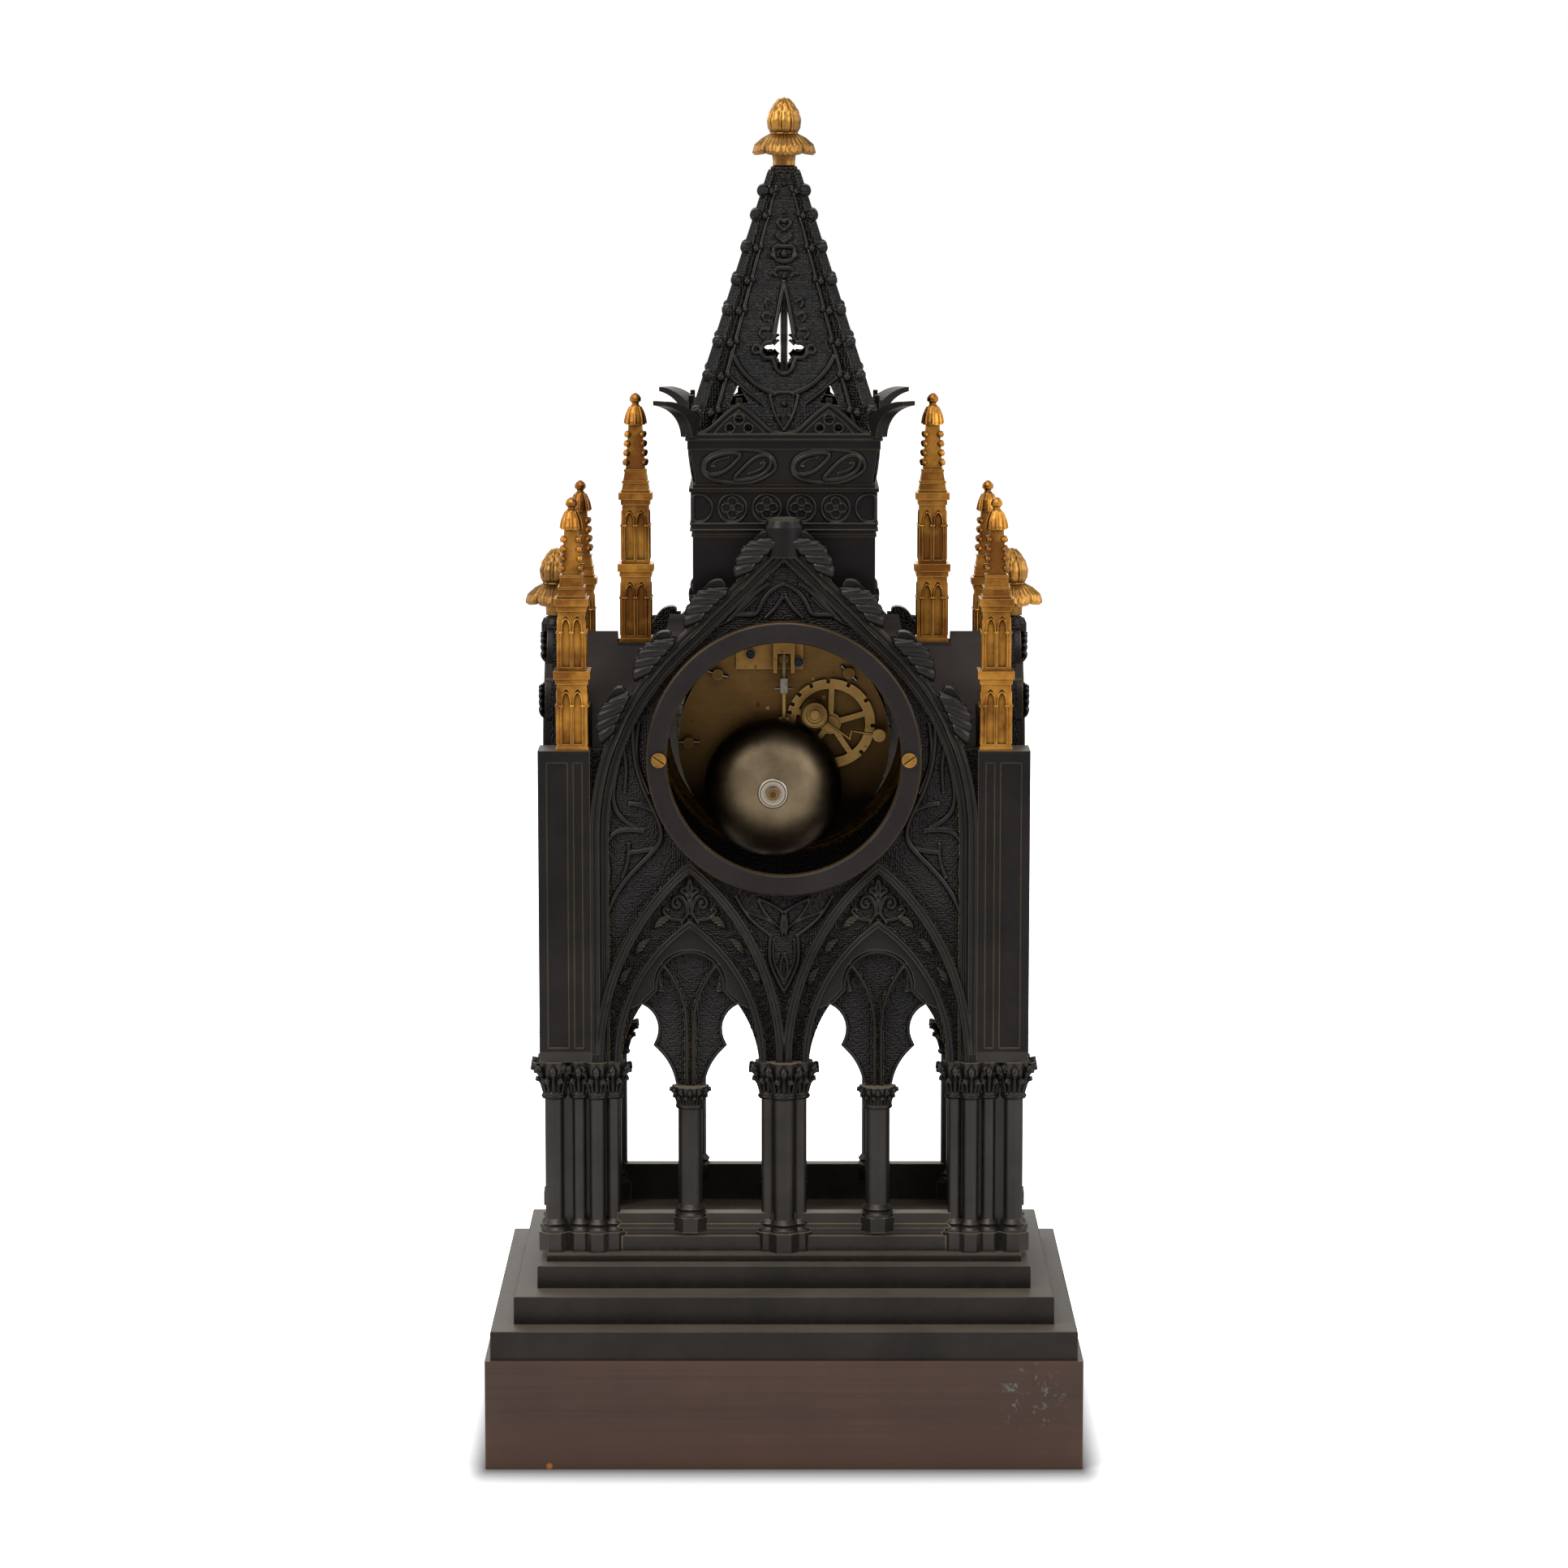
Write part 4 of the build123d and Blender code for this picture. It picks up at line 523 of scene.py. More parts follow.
def stamp(name, model, places):
    """Copies of one modelled piece, each with its own mesh, joined."""
    clear()
    for place in places:
        mesh = model.data.copy()
        mesh.transform(place)
        if place.determinant() < 0:
            mesh.flip_normals()
        copy = bpy.data.objects.new(name, mesh)
        bpy.context.scene.collection.objects.link(copy)
        copy.select_set(True)
        bpy.context.view_layer.objects.active = copy
    bpy.ops.object.join()
    made = bpy.context.object
    made.name = name
    return made


def joined(name, pieces):
    clear()
    for piece in pieces:
        piece.select_set(True)
    bpy.context.view_layer.objects.active = pieces[0]
    bpy.ops.object.join()
    pieces[0].name = name
    return pieces[0]


def drop(model):
    bpy.data.objects.remove(model)


def fit(piece, finish, body="case"):
    piece.data.materials.clear()
    piece.data.materials.append(finish)
    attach(piece, body)


def between(table, at):
    """A value read off a short table, rounded between its entries."""
    for (a, low), (b, high) in zip(table, table[1:]):
        if at <= b:
            share = (at - a) / (b - a)
            return low + (high - low) * share * share * (3 - 2 * share)
    return table[-1][1]


def basis(side):
    """Wall coordinates (sideways, up, outwards) to the clock's own."""
    out = Vector({"back": (0, 1, 0), "front": (0, -1, 0), "right": (1, 0, 0), "left": (-1, 0, 0)}[side])
    up = Vector((0, 0, 1))
    return axes(up.cross(out), up, out)


def four_sides(name, model):
    made = stamp(name, model, [basis(side) for side in ("back", "front", "right", "left")])
    drop(model)
    return made


def mirrored(lines):
    return lines + [([(-u, z, n) for u, z, n in points], thick, closed) for points, thick, closed in lines]


def flat(points, n, thick, closed=False):
    """A line that lies at one height of its third coordinate."""
    return ([(u, z, n) for u, z in points], thick, closed)


def three_point(a, b, c):
    """Points along the arc through three points of a wall."""
    steps = 8
    ax, ay = a[0] - c[0], a[1] - c[1]
    bx, by = b[0] - c[0], b[1] - c[1]
    d = 2 * (ax * by - ay * bx)
    ux = (by * (ax * ax + ay * ay) - ay * (bx * bx + by * by)) / d
    uy = (ax * (bx * bx + by * by) - bx * (ax * ax + ay * ay)) / d
    r = hypot(ux, uy)
    cx, cy = c[0] + ux, c[1] + uy
    start = atan2(a[1] - cy, a[0] - cx)
    middle = (atan2(b[1] - cy, b[0] - cx) - start) % (2 * pi)
    end = (atan2(c[1] - cy, c[0] - cx) - start) % (2 * pi)
    if middle > end:
        end -= 2 * pi
    turns = [start + end * k / steps for k in range(steps + 1)]
    return [(cx + r * cos(turn), cy + r * sin(turn)) for turn in turns]


def pointed_arch(half, spring, apex, inset, steps=13):
    rise = apex - spring
    centre = (half**2 - rise**2) / (2 * half)
    r = half - centre - inset
    top = atan2(sqrt(r * r - centre * centre), -centre)
    side = [(centre + r * cos(top * k / steps), spring + r * sin(top * k / steps)) for k in range(steps + 1)]
    return side + [(-u, z) for u, z in reversed(side[:-1])]


def gable(half, apex, radius, foot, inset):
    """A wall's outline: upright edges that round into straight slopes."""
    lean = radians(44.4)
    steps = 9
    edge = half - inset
    r = radius - inset
    top = apex - inset / cos(lean)
    corner = top - edge * sin(lean) / cos(lean)
    bend = pi / 2 - lean
    knee = corner - r * sin(bend / 2) / cos(bend / 2)
    side = [(edge, foot)]
    for k in range(steps + 1):
        turn = bend * k / steps
        side.append((edge - r + r * cos(turn), knee + r * sin(turn)))
    return side + [(0, top)] + [(-u, z) for u, z in reversed(side)]


# Leaves
def acanthus(across, head):
    """A gable leaf: five tongues that start along its outer edge and run up and in to the gable."""
    share = (across + 1) / 2
    width = between([(0, 3.0), (0.34, 6.8), (0.62, 8.6), (0.86, 6.8), (1, 4.4)], head)
    slant = between([(0, 6.4), (0.5, 8.6), (1, 4.6)], head)
    tongue = abs(sin(pi * (5 * head + 0.02))) ** 0.55
    reach = width * share - 0.7 * (1 - tongue) * share**3 - 0.4
    rise = 0.1 + (0.3 + 2.6 * tongue) * (0.35 + 0.65 * sin(pi * (0.16 + 0.66 * share)))
    rise += 0.9 * head * share
    along = -11.4 + 18.8 * head + slant * (1 - share)
    return along, reach, rise


def leaf_model():
    """A flat grid drawn into a leaf, then given thickness."""
    piece = primitive("leaf_model", "grid", x_subdivisions=8, y_subdivisions=40, size=2)
    for vertex in piece.data.vertices:
        vertex.co = Vector(acanthus(vertex.co.x, (vertex.co.y + 1) / 2)) * mm
    wall = piece.modifiers.new("wall", "SOLIDIFY")
    wall.thickness = 1.4 * mm
    wall.offset = -1
    bpy.ops.object.modifier_apply(modifier="wall")
    bpy.ops.object.shade_smooth()
    return piece


def wall_leaf(u, z, normal, n, scale):
    """Where a leaf lies on a wall: its head runs along the edge, its lobes stand out along the normal."""
    along = radians(normal + 90)
    out = radians(normal)
    turned = axes((cos(along), sin(along), 0), (cos(out), sin(out), 0), (0, 0, 1))
    return move(u, z, n) @ turned @ sized(scale)


def round_the_column(x, y, z, angle, out):
    turn = radians(angle)
    turned = axes((-sin(turn), cos(turn), 0), (0, 0, 1), (cos(turn), sin(turn), 0))
    return move(x + out * cos(turn), y + out * sin(turn), z) @ turned


# Relief of the walls, drawn for one half: points, then half thickness
spandrel_scrolls = [
    ([(62.3, 303), (61.9, 288), (57.2, 273.8), (53.5, 267.2), (49.8, 257.7),
      (52.2, 251), (62, 241.6), (69.6, 232), (75, 219), (76.6, 210)], 1.3),
    ([(63.8, 269.3), (58.2, 269.1), (53.5, 266.3)], 1.1),
    ([(67, 291), (71, 275.7), (69.5, 266.3), (64.8, 261.5), (60.2, 259.4)], 1.3),
    ([(57.8, 258), (64.8, 259), (71.4, 256.8), (74.2, 251),
      (72.4, 244.4), (72.2, 238.7), (74.3, 233), (77, 230.6)], 1.3),
    ([(63.9, 249), (58.3, 249.2), (52.6, 251)], 1.1),
    ([(64.1, 253), (63.5, 245.4), (66.8, 238.7)], 1.0),
    ([(59.5, 303), (60.9, 292.7), (59.6, 282.4), (55.4, 273.8)], 1.0),
    ([(66.5, 300), (66, 292), (64.4, 284), (65.6, 274)], 1.0),
]
fleuron = [
    ([(3.2, 219.6), (1.2, 222.4), (0.7, 226), (0.5, 230)], 1.0),
    ([(0.6, 223.4), (1.4, 228), (3.6, 231.2), (6.6, 230.6), (7.4, 227.6),
      (5.8, 225.6), (4.0, 226.4), (4.2, 228.2), (5.4, 228.2)], 0.95),
    ([(2.6, 220.4), (6.0, 220.6), (9.2, 222.2), (11.4, 225), (10, 226.4), (8.8, 225)], 0.85),
    ([(0, 229), (1.6, 232), (3.6, 232.6), (3.6, 234.6), (1.2, 234.4)], 0.85),
    ([(0, 230), (1.6, 235), (0, 238.6)], 0.9),
]
middle_leaf = [
    ([(0, 190.4), (4.6, 198.6), (6.7, 206), (5.6, 214.4)], 1.0),
    ([(0, 193.6), (3.2, 200.3), (4.9, 206), (4.2, 213)], 0.6),
    ([(0, 206.8), (3.2, 200.6), (0, 195)], 0.8),
    ([(5.4, 214.4), (12.4, 219.3), (17.2, 225.2), (20, 231)], 1.0),
    ([(0, 223.8), (4.9, 228), (10.3, 229.8)], 0.9),
    ([(10.5, 229), (8.7, 224.7), (5.4, 220.8), (2, 217)], 0.8),
    ([(16.7, 225), (12.4, 223), (6, 221), (2, 217)], 0.8),
    ([(0, 224), (1.8, 219.5), (0, 214)], 1.2),
]
tympanum = [
    ([(20.4, 347.6), (12.6, 346.9), (10.6, 348.4), (8.8, 353.3), (4.8, 358.4), (0, 360.4)], 1.2),
    ([(7.4, 346.4), (2.8, 350.3), (0, 356.2)], 1.1),
    ([(23.2, 345.6), (17.4, 350.6), (13.4, 355.6), (9.4, 358.8), (6.2, 360.2)], [0.9, 1.9, 2.1, 1.5, 0.8]),
    ([(21.4, 346.6), (16.2, 349.4), (11.4, 354.6)], 0.8),
    ([(27.6, 343.0), (22.6, 344.4), (19.8, 347.4)], 1.0),
]
# Leaves: sideways, height and the angle they stand out at
facade_leaves = [(10.8, 370.0, 45.6), (31.4, 349.8, 45.6), (52.6, 328.4, 41.5), (68.6, 304.5, 25.0)]
side_leaves = [(8.0, 329.5, 45.6), (26.0, 309.0, 38.0)]
bay_leaves = [(11.0, 219.4, 52), (19.2, 209.4, 38), (26.2, 197.0, 26)]
bay_leaf_scale = 0.36
# Gables: half width, apex, radius of the shoulder, foot
facade_gable = (79.7, 380.4, 107.6, 165.0)
side_gable = (33.3, 337.0, 40.0, 165.0)


def lobed_head():
    """Edge of the blind panel over a pair of lancets: a round head between two cusps."""
    head = [(14.0 * cos(radians(a)), 193.4 + 14.0 * sin(radians(a))) for a in range(-8, 189, 14)]
    return [(19.5, 185.7), (16.9, 188.2)] + head + [(-16.9, 188.2), (-19.5, 185.7)]


def wall_rolls(middles, outline, arches, tracery, field, face):
    """Rolls along the arches, the gable and the edges of the lancets, at three depths of the wall."""
    lines = []
    for middle in middles:
        for arch, insets in arches:
            for inset in insets:
                run = [(middle + u, z) for u, z in pointed_arch(*arch, inset)]
                lines.append(flat(run, face - 0.3, 0.7))
        for side in (-1, 1):
            edge = three_point((5.3, 152), (8.4, 160.8), (14.6, 168.1))
            edge += three_point((14.6, 168.1), (12.8, 177.5), (19.5, 185.7))[1:]
            lines.append(flat([(middle + side * u, z) for u, z in edge], tracery, 0.75))
            stem = [(1.4, 152)] + three_point((1.4, 176), (4.4, 191), (11.6, 202.4))
            lines.append(flat([(middle + side * u, z) for u, z in stem], tracery + 1.3, 0.8))
        lines.append(flat([(middle + u, z) for u, z in lobed_head()], tracery + 1.5, 0.95))
    for inset, n in ((0.8, face), (2.6, face), (4.6, field), (6.6, field)):
        lines.append(flat(gable(*outline, inset), n - 0.3, 0.75))
    return lines


def spandrel_plate(name, middles, n):
    """The flat ground between the lobed head and the arch above it."""
    curve = bpy.data.curves.new(name, "CURVE")
    curve.dimensions = "2D"
    curve.fill_mode = "BOTH"
    curve.extrude = 0.9 * mm
    cusp = 183.0
    arch = [spot for spot in pointed_arch(*bay_arch, 2.6, 24) if spot[1] > cusp]
    for middle in middles:
        outline = lobed_head() + list(reversed(arch))
        spline = curve.splines.new("POLY")
        spline.points.add(len(outline) - 1)
        for knot, (u, z) in zip(spline.points, outline):
            knot.co = ((middle + u) * mm, z * mm, 0, 1)
        spline.use_cyclic_u = True
    plate = meshed(name, curve)
    plate.data.transform(move(0, 0, n))
    return plate


def wall_relief(name, lines, rolls, leaves, plate):
    """One wall's relief: drawn lines, rolls, leaves on both halves and the ground over the lancets."""
    drawn = strokes(name + "_lines", lines)
    ruled = strokes(name + "_rolls", rolls, smooth=False)
    leaf = leaf_model()
    spots = [half @ spot for half in (Matrix(), mirror) for spot in leaves]
    carved = stamp(name + "_leaves", leaf, spots)
    drop(leaf)
    return joined(name + "_model", [drawn, ruled, carved, spandrel_plate(*plate)])


def facade_relief():
    ground = 49.2
    half = [flat(points, ground, thick) for points, thick in spandrel_scrolls + middle_leaf + tympanum]
    for points, thick, closed in mirrored([flat(points, ground, thick) for points, thick in fleuron]):
        half.append(([(bay + u, z, n) for u, z, n in points], thick, closed))
    arches = ((bay_arch, (0.7, 2.2)), (outer_arch, (0.7, 2.1, 3.5)))
    rolls = wall_rolls((-bay, bay), facade_gable, arches, 47.3, 51.2, 53.0)
    leaves = [wall_leaf(u, z, normal, 51.9, 1.0) for u, z, normal in facade_leaves]
    for u, z, normal in bay_leaves:
        leaf = wall_leaf(bay + u, z, normal, 49.0, bay_leaf_scale)
        leaves += [leaf, move(2 * bay, 0, 0) @ mirror @ leaf]
    return wall_relief("relief", mirrored(half), rolls, leaves, ("bay_plates", (-bay, bay), 47.8))


def side_relief():
    lines = mirrored([flat(points, 96.2, thick) for points, thick in fleuron])
    rolls = wall_rolls((0,), side_gable, ((bay_arch, (0.7, 2.2)),), 94.3, 97.6, 99.5)
    leaves = [wall_leaf(u, z, normal, 98.5, 0.72) for u, z, normal in side_leaves]
    leaves += [wall_leaf(u, z, normal, 96.0, bay_leaf_scale) for u, z, normal in bay_leaves]
    return wall_relief("side", lines, rolls, leaves, ("side_plate", (0,), 94.8))


# Capitals: place and radius of each column
corner_columns = [
    (77.5, 49.0, 3.3), (85.0, 47.8, 2.8), (70.9, 47.4, 2.7), (95.4, 47.5, 3.9), (95.4, 33.0, 4.1),
]
middle_columns = [(0, 49.2, 4.6), (-6.4, 47.4, 3.0), (6.4, 47.4, 3.0)]
slender = 5.05


def capitals():
    """Two tiers of curled crockets round each column, over a neck ring."""
    curl = [(0, 0, 0), (0, 4.2, 0.9), (0, 8.6, 1.9), (0, 11.6, 3.3), (0, 12.0, 4.6), (0, 10.4, 5.0)]
    crocket = strokes("capital_model", [(curl, [0.7, 0.9, 1.2, 1.9, 2.1, 1.3], False)], smooth=False)
    tall, low = (146.8, 1.0), (142.4, 0.6)  # height of the neck ring, scale
    columns = []
    for sx, sy in product((-1, 1), repeat=2):
        columns += [(sx * x, sy * y, r, *tall) for x, y, r in corner_columns]
    for sy in (-1, 1):
        columns += [(x, sy * y, r, *tall) for x, y, r in middle_columns]
        columns += [(x, sy * 47.4, slender, *low) for x in (-bay, bay)]
    columns += [(x, 0, slender, *low) for x in (-95.2, 95.2)]
    spots = []
    rings = []
    for x, y, r, z, scale in columns:
        rings.append(flat(circle(16, r + 0.5, x, y), z, 0.9 * scale + 0.15, True))
        count = max(6, round(2 * pi * (r + 2.0 * scale) / (4.4 * scale + 0.6)))
        under = 0.62 * scale
        for k in range(count):
            turn = 360 / count * k + 90
            spots.append(round_the_column(x, y, z, turn, r + 0.1) @ sized(scale))
            gap = turn + 180 / count
            spots.append(round_the_column(x, y, z, gap, r + 0.2) @ sized(scale * 0.9, under, under))
    leaves = stamp("capital_crockets", crocket, spots)
    drop(crocket)
    return joined("capital_leaves", [leaves, strokes("capital_rings", rings, smooth=False)])


# Spire, crown, scroll block and frieze
def spire_half(z):
    return spire_wide - (spire_wide - spire_narrow) / (spire_top - spire_foot) * (z - spire_foot)


def spire_share(z):
    """How much is left, at a height, of a distance in from the spire's edge."""
    return 0.4 + 0.6 * spire_half(z) / spire_wide


def on_spire(points, lift, thick):
    return ([(u, z, spire_half(z) + lift) for u, z in points], thick, False)


# Points of one half of a face, lift from the face, half thickness
spire_lines = [
    ([(20.6, 452), (18.7, 448), (15.7, 444.3), (11.2, 440.1), (6.5, 437.6), (3.5, 436.6)], 0.3, 1.3),
    ([(22.9, 444), (19.4, 441.6), (13.6, 436), (8.6, 432.6)], 0.2, 0.8),
    ([(0, 482.4), (1.9, 473), (3.6, 464), (4.1, 460.6)], 0.4, 1.0),
    ([(3.6, 460.4), (4.4, 458.6), (5.4, 457.8)], 0.4, 0.9),
    ([(5.0, 457.4), (7.6, 457.6), (9.6, 455.4), (9.4, 452.4), (7.2, 450.7), (4.8, 451.4)], 0.4, 1.0),
    ([(4.8, 451.4), (4.0, 449.6), (3.4, 446.8), (1.4, 444.9), (0, 444.7)], 0.4, 1.0),
    ([(4.6, 473.6), (6.9, 475.6), (8.2, 473.4), (6.8, 471.8)], 0.3, 0.7),
    ([(5.4, 468.4), (8, 470), (9.2, 467.4), (7.4, 466)], 0.3, 0.7),
    ([(6.2, 462.4), (9.2, 463.4), (10.6, 460.4), (8.4, 459)], 0.3, 0.7),
    ([(8.8, 455), (11.6, 457), (13.4, 454.6), (11.6, 452.4), (10.2, 453.6)], 0.3, 0.8),
    ([(2.6, 484.3), (4.6, 486.4), (6, 485)], 0.3, 0.7),
    ([(0, 487.4), (2.6, 487.8), (4.0, 486.4)], 0.4, 1.0),
    ([(0, 490.0), (3.4, 490.4), (4.2, 493.6), (4.6, 495.8), (2.2, 496.6), (0, 496.2)], 0.4, 1.0),
    ([(0, 498.2), (2.4, 499.6), (3.4, 501.6), (1.6, 501.2), (0, 499.6)], 0.4, 0.9),
    ([(0, 503.0), (2.2, 504.4), (3.0, 507.0), (1.2, 507.2), (0, 506.8)], 0.4, 0.9),
    ([(5.8, 436.2), (4.6, 430.1), (1.8, 424.4), (0, 422.2)], 0.5, 0.8),
    ([(5.8, 436.2), (3, 437.4), (0, 437.2)], 0.5, 0.7),
]
# Sideways, height and radius
middle_pearls = [
    (0, 484.1, 1.2), (0, 493.2, 1.7), (0, 498.2, 1.2), (0, 506.4, 1.0), (0, 510.2, 0.9), (0, 432.6, 1.3),
]
paired_pearls = [(5, 492.6, 1.1), (2.1, 427.9, 1.0), (3.5, 484.6, 0.8)]
crocket_levels = [429.3, 443.9, 457.5, 470.4, 482.6, 495.9, 509.1, 519.0]


def spire_relief():
    half = [on_spire(*line) for line in spire_lines]
    for inset, thick in ((2.6, 1.5), (6.2, 1.15)):
        rib = [(spire_half(z) - inset * spire_share(z), z) for z in (421.4, 450, 480, 505, 521)]
        half.append(on_spire(rib, 0.2, [thick, thick, thick * 0.85, thick * 0.7, thick * 0.55]))
    lines = strokes("spire_lines", mirrored(half))
    pearl = ball("pearl_model", 1.0)
    spots = []
    for u, z, r in middle_pearls + [(side * u, z, r) for side in (-1, 1) for u, z, r in paired_pearls]:
        spots.append(move(u, z, spire_half(z) + 0.4) @ sized(r))
    for k, z in enumerate(crocket_levels):
        size = 2.0 - 0.09 * k
        edge = spire_half(z)
        for side in (-1, 1):
            for u, lift, rise, share in ((3.6, 1.6, -0.4, 1.1), (7.2, 1.0, 0.4, 0.8)):
                at = move(side * (edge - u * spire_share(z)), z + rise, edge + lift)
                spots.append(at @ sized(size * share))
        spots.append(move(edge + 1.9, z + 0.6, edge + 1.9) @ sized(size * 1.35, size * 1.25, size * 1.35))
    pearls = stamp("spire_pearls", pearl, spots)
    drop(pearl)
    return four_sides("spire_relief", joined("spire_face", [lines, pearls]))


def crown_relief():
    n = 39.3
    rise = [(38.4, 420.8), (35.4, 420.4), (31.2, 422.2), (27.0, 426.0), (22.4, 430.2), (18.4, 432.9)]
    fall = [(18.4, 432.9), (14.4, 430.2), (9.8, 426.0), (6.4, 422.6), (3.2, 420.9), (0, 420.4)]
    half = [flat(rise, n, 1.0), flat(fall, n, 1.0)]
    for u, z, r in ((18.4, 426.8, 2.3), (22.2, 423.2, 2.1), (14.6, 423.2, 2.1)):
        half.append(flat(circle(8, r, u, z), n, 0.5, True))
    half.append(flat([(28.6, 420.6), (25.8, 424.4), (20.4, 429.0), (18.4, 430.4)], n - 0.1, 0.5))
    half.append(flat([(8.2, 421.4), (11.2, 424.6), (16.4, 429.0), (18.4, 430.4)], n - 0.1, 0.5))
    lines = strokes("crown_lines", mirrored(half))
    bars = [flat([(-40.0, z), (40.0, z)], 40.0, 0.6) for z in (418.5, 420.5)]
    bars = strokes("crown_bars", bars, smooth=False)
    faces = four_sides("crown_faces", joined("crown_face", [lines, bars]))
    horn = [(71.4, 434.1), (64.8, 433.4), (58.4, 431.0), (53.4, 427.8), (50.5, 424.5)]
    veins = []
    for quarter in range(4):
        turn = radians(45 + 90 * quarter)
        c, s = cos(turn), sin(turn)
        for aside, thick in ((-2.7, 0.6), (2.7, 0.6), (0.0, 0.5)):
            veins.append(([(r * c - aside * s, r * s + aside * c, z) for r, z in horn], thick, False))
    return joined("crown_relief", [faces, strokes("horn_veins", veins)])


# One panel of the scroll block: closed bands with their half thickness, then the two curled ends
scroll_bands = [
    ([(33.8, 407.3), (31.2, 412.8), (24, 414.4), (11.1, 414.4), (3.6, 410.6),
      (2.9, 405.4), (5.8, 402), (15.5, 400.2), (23.8, 400.4), (31.2, 404)], 0.95),
    ([(31.5, 409.5), (30.6, 411.7), (27.5, 412.4), (23.2, 410.1), (18.3, 405.1),
      (15.5, 402), (18.8, 401.4), (24.3, 402.3), (29.6, 405)], 1.05),
    ([(3.9, 407.3), (4.6, 404.6), (7.8, 403.6), (12.2, 405.1), (16, 408.4),
      (19.6, 412.6), (15.5, 413.2), (10, 412.4), (5.1, 410.1)], 1.05),
]
scroll_ends = [
    [(27, 408.6), (29, 409.6), (28.4, 407.4), (25.4, 405.2), (22, 404.4)],
    [(8.4, 407.6), (6.4, 406.6), (7.4, 409), (10.6, 410.6), (14, 411.2)],
]


def scroll_relief():
    foot, tall = 398.5, 16
    foot_half, top_half = 36.2, 38.4

    def face(z):
        return foot_half + (top_half - foot_half) * (z - foot) / tall

    lines = []
    for shift in (0.0, -36.6):
        for run, thick in scroll_bands:
            lines.append(([(u + shift, z, face(z) + 0.5) for u, z in run], thick, True))
        for run in scroll_ends:
            lines.append(([(u + shift, z, face(z) + 0.3) for u, z in run], 0.75, False))
    return four_sides("scroll_relief", strokes("scroll_lines", lines))


def frieze_relief():
    """A row of rings, each round four lobes; the rings at the corners are cut off flat."""
    n, middle, pitch, corner = 37.7, 390.2, 14.1, 37.3
    lines = []
    for k in range(-2, 4):
        u = pitch * k - pitch / 2
        ring = [(max(-corner, min(corner, x)), z) for x, z in circle(12, 6.0, u, middle)]
        lines.append(flat(ring, n, 0.75, True))
        if abs(u) < 30:
            for lobe in circle(4, 2.6, u, middle):
                lines.append(flat(circle(8, 2.0, *lobe), n - 0.1, 0.55, True))
    bars = []
    for z, r in ((381.2, 0.5), (383.8, 0.5), (397.4, 0.7)):
        bars.append(flat([(-38.4, z), (38.4, z)], 38.3, r))
    drawn = strokes("frieze_lines", lines)
    ruled = strokes("frieze_bars", bars, smooth=False)
    return four_sides("frieze_relief", joined("frieze_face", [drawn, ruled]))


# Gilt castings: each table gives a radius or a height for a share of the form
bud_table = [
    (0, 0.0), (0.04, 5.0), (0.1, 6.0), (0.22, 6.8), (0.4, 7.1), (0.6, 6.3), (0.8, 4.5), (0.93, 2.4), (1, 0.0),
]
bud_turn = radians(31)
bud_foot = 12.9
bud_tall = 16.0
skirt_wide = 13.1
skirt_table = [
    (0, 0.0), (0.04, 4.9), (0.2, 9.0), (0.36, 12.2), (0.5, skirt_wide),
    (0.62, 12.3), (0.78, 9.2), (0.94, 5.6), (1, 0.0),
]
skirt_climb = [
    (0, 5.8), (0.2, 5.6), (0.36, 4.9), (0.5, 6.2), (0.62, 9.0), (0.78, 11.8), (0.94, 13.8), (1, 14.2),
]
knob_table = [(0, 0.0), (0.05, 5.6), (0.3, 6.4), (0.62, 7.5), (0.82, 7.0), (0.94, 5.0), (1, 0.0)]
knob_foot, knob_tall = 376.6, 10.4


def bud(turn, share):
    """The finial's bud: an egg of eight grooved petals."""
    seam = abs(cos(4 * (turn - bud_turn))) ** 9
    r = between(bud_table, share) * (1 - 0.14 * seam) + 0.05 * sin(30 * share + 6 * sin(4 * turn))
    return r * cos(turn), r * sin(turn), bud_foot + bud_tall * share


def skirt(turn, share):
    """The finial's skirt: four drooping lobes, combed from the neck to the rim, hollow below."""
    r = between(skirt_table, share)
    far = r / skirt_wide
    lobe = abs(sin(2 * turn)) ** 0.45
    comb = 0.45 * sin(32 * turn) * far if share > 0.45 else 0.0
    r *= 1 - 0.2 * (1 - lobe) * far
    return r * cos(turn), r * sin(turn), between(skirt_climb, share) + comb + 1.2 * (1 - lobe) * far


def neck(turn, share):
    r = between([(0, 4.6), (0.4, 4.6), (0.9, 5.0), (1, 5.0)], share) if 0.0 < share < 1.0 else 0.0
    return r * cos(turn), r * sin(turn), 6.4 * share


def knob(turn, share):
    """The blunt knob at the top of a gable: a flattened cushion with rounded shoulders."""
    r = between(knob_table, share)
    return r * cos(turn), 0.72 * r * sin(turn), knob_foot + knob_tall * share


def finial():
    top = shaped_ball("finial_bud", 64, 28, bud)
    stem = shaped_ball("finial_neck", 28, 12, neck)
    spread = shaped_ball("finial_skirt", 192, 28, skirt)
    spread.data.transform(Matrix.Rotation(radians(45), 4, "Z"))
    ribs = [flat(circle(24, 5.3), 14.0, 0.5, True)]
    for k in range(8):
        turn = bud_turn + k * pi / 4
        line = []
        for share in (0.05, 0.12, 0.25, 0.4, 0.55, 0.7, 0.84, 0.95):
            r = between(bud_table, share) * 0.93
            line.append((r * cos(turn), r * sin(turn), bud_foot + bud_tall * share))
        ribs.append((line, 0.42, False))
    return joined("finial_model", [top, stem, spread, strokes("finial_ribs", ribs)])


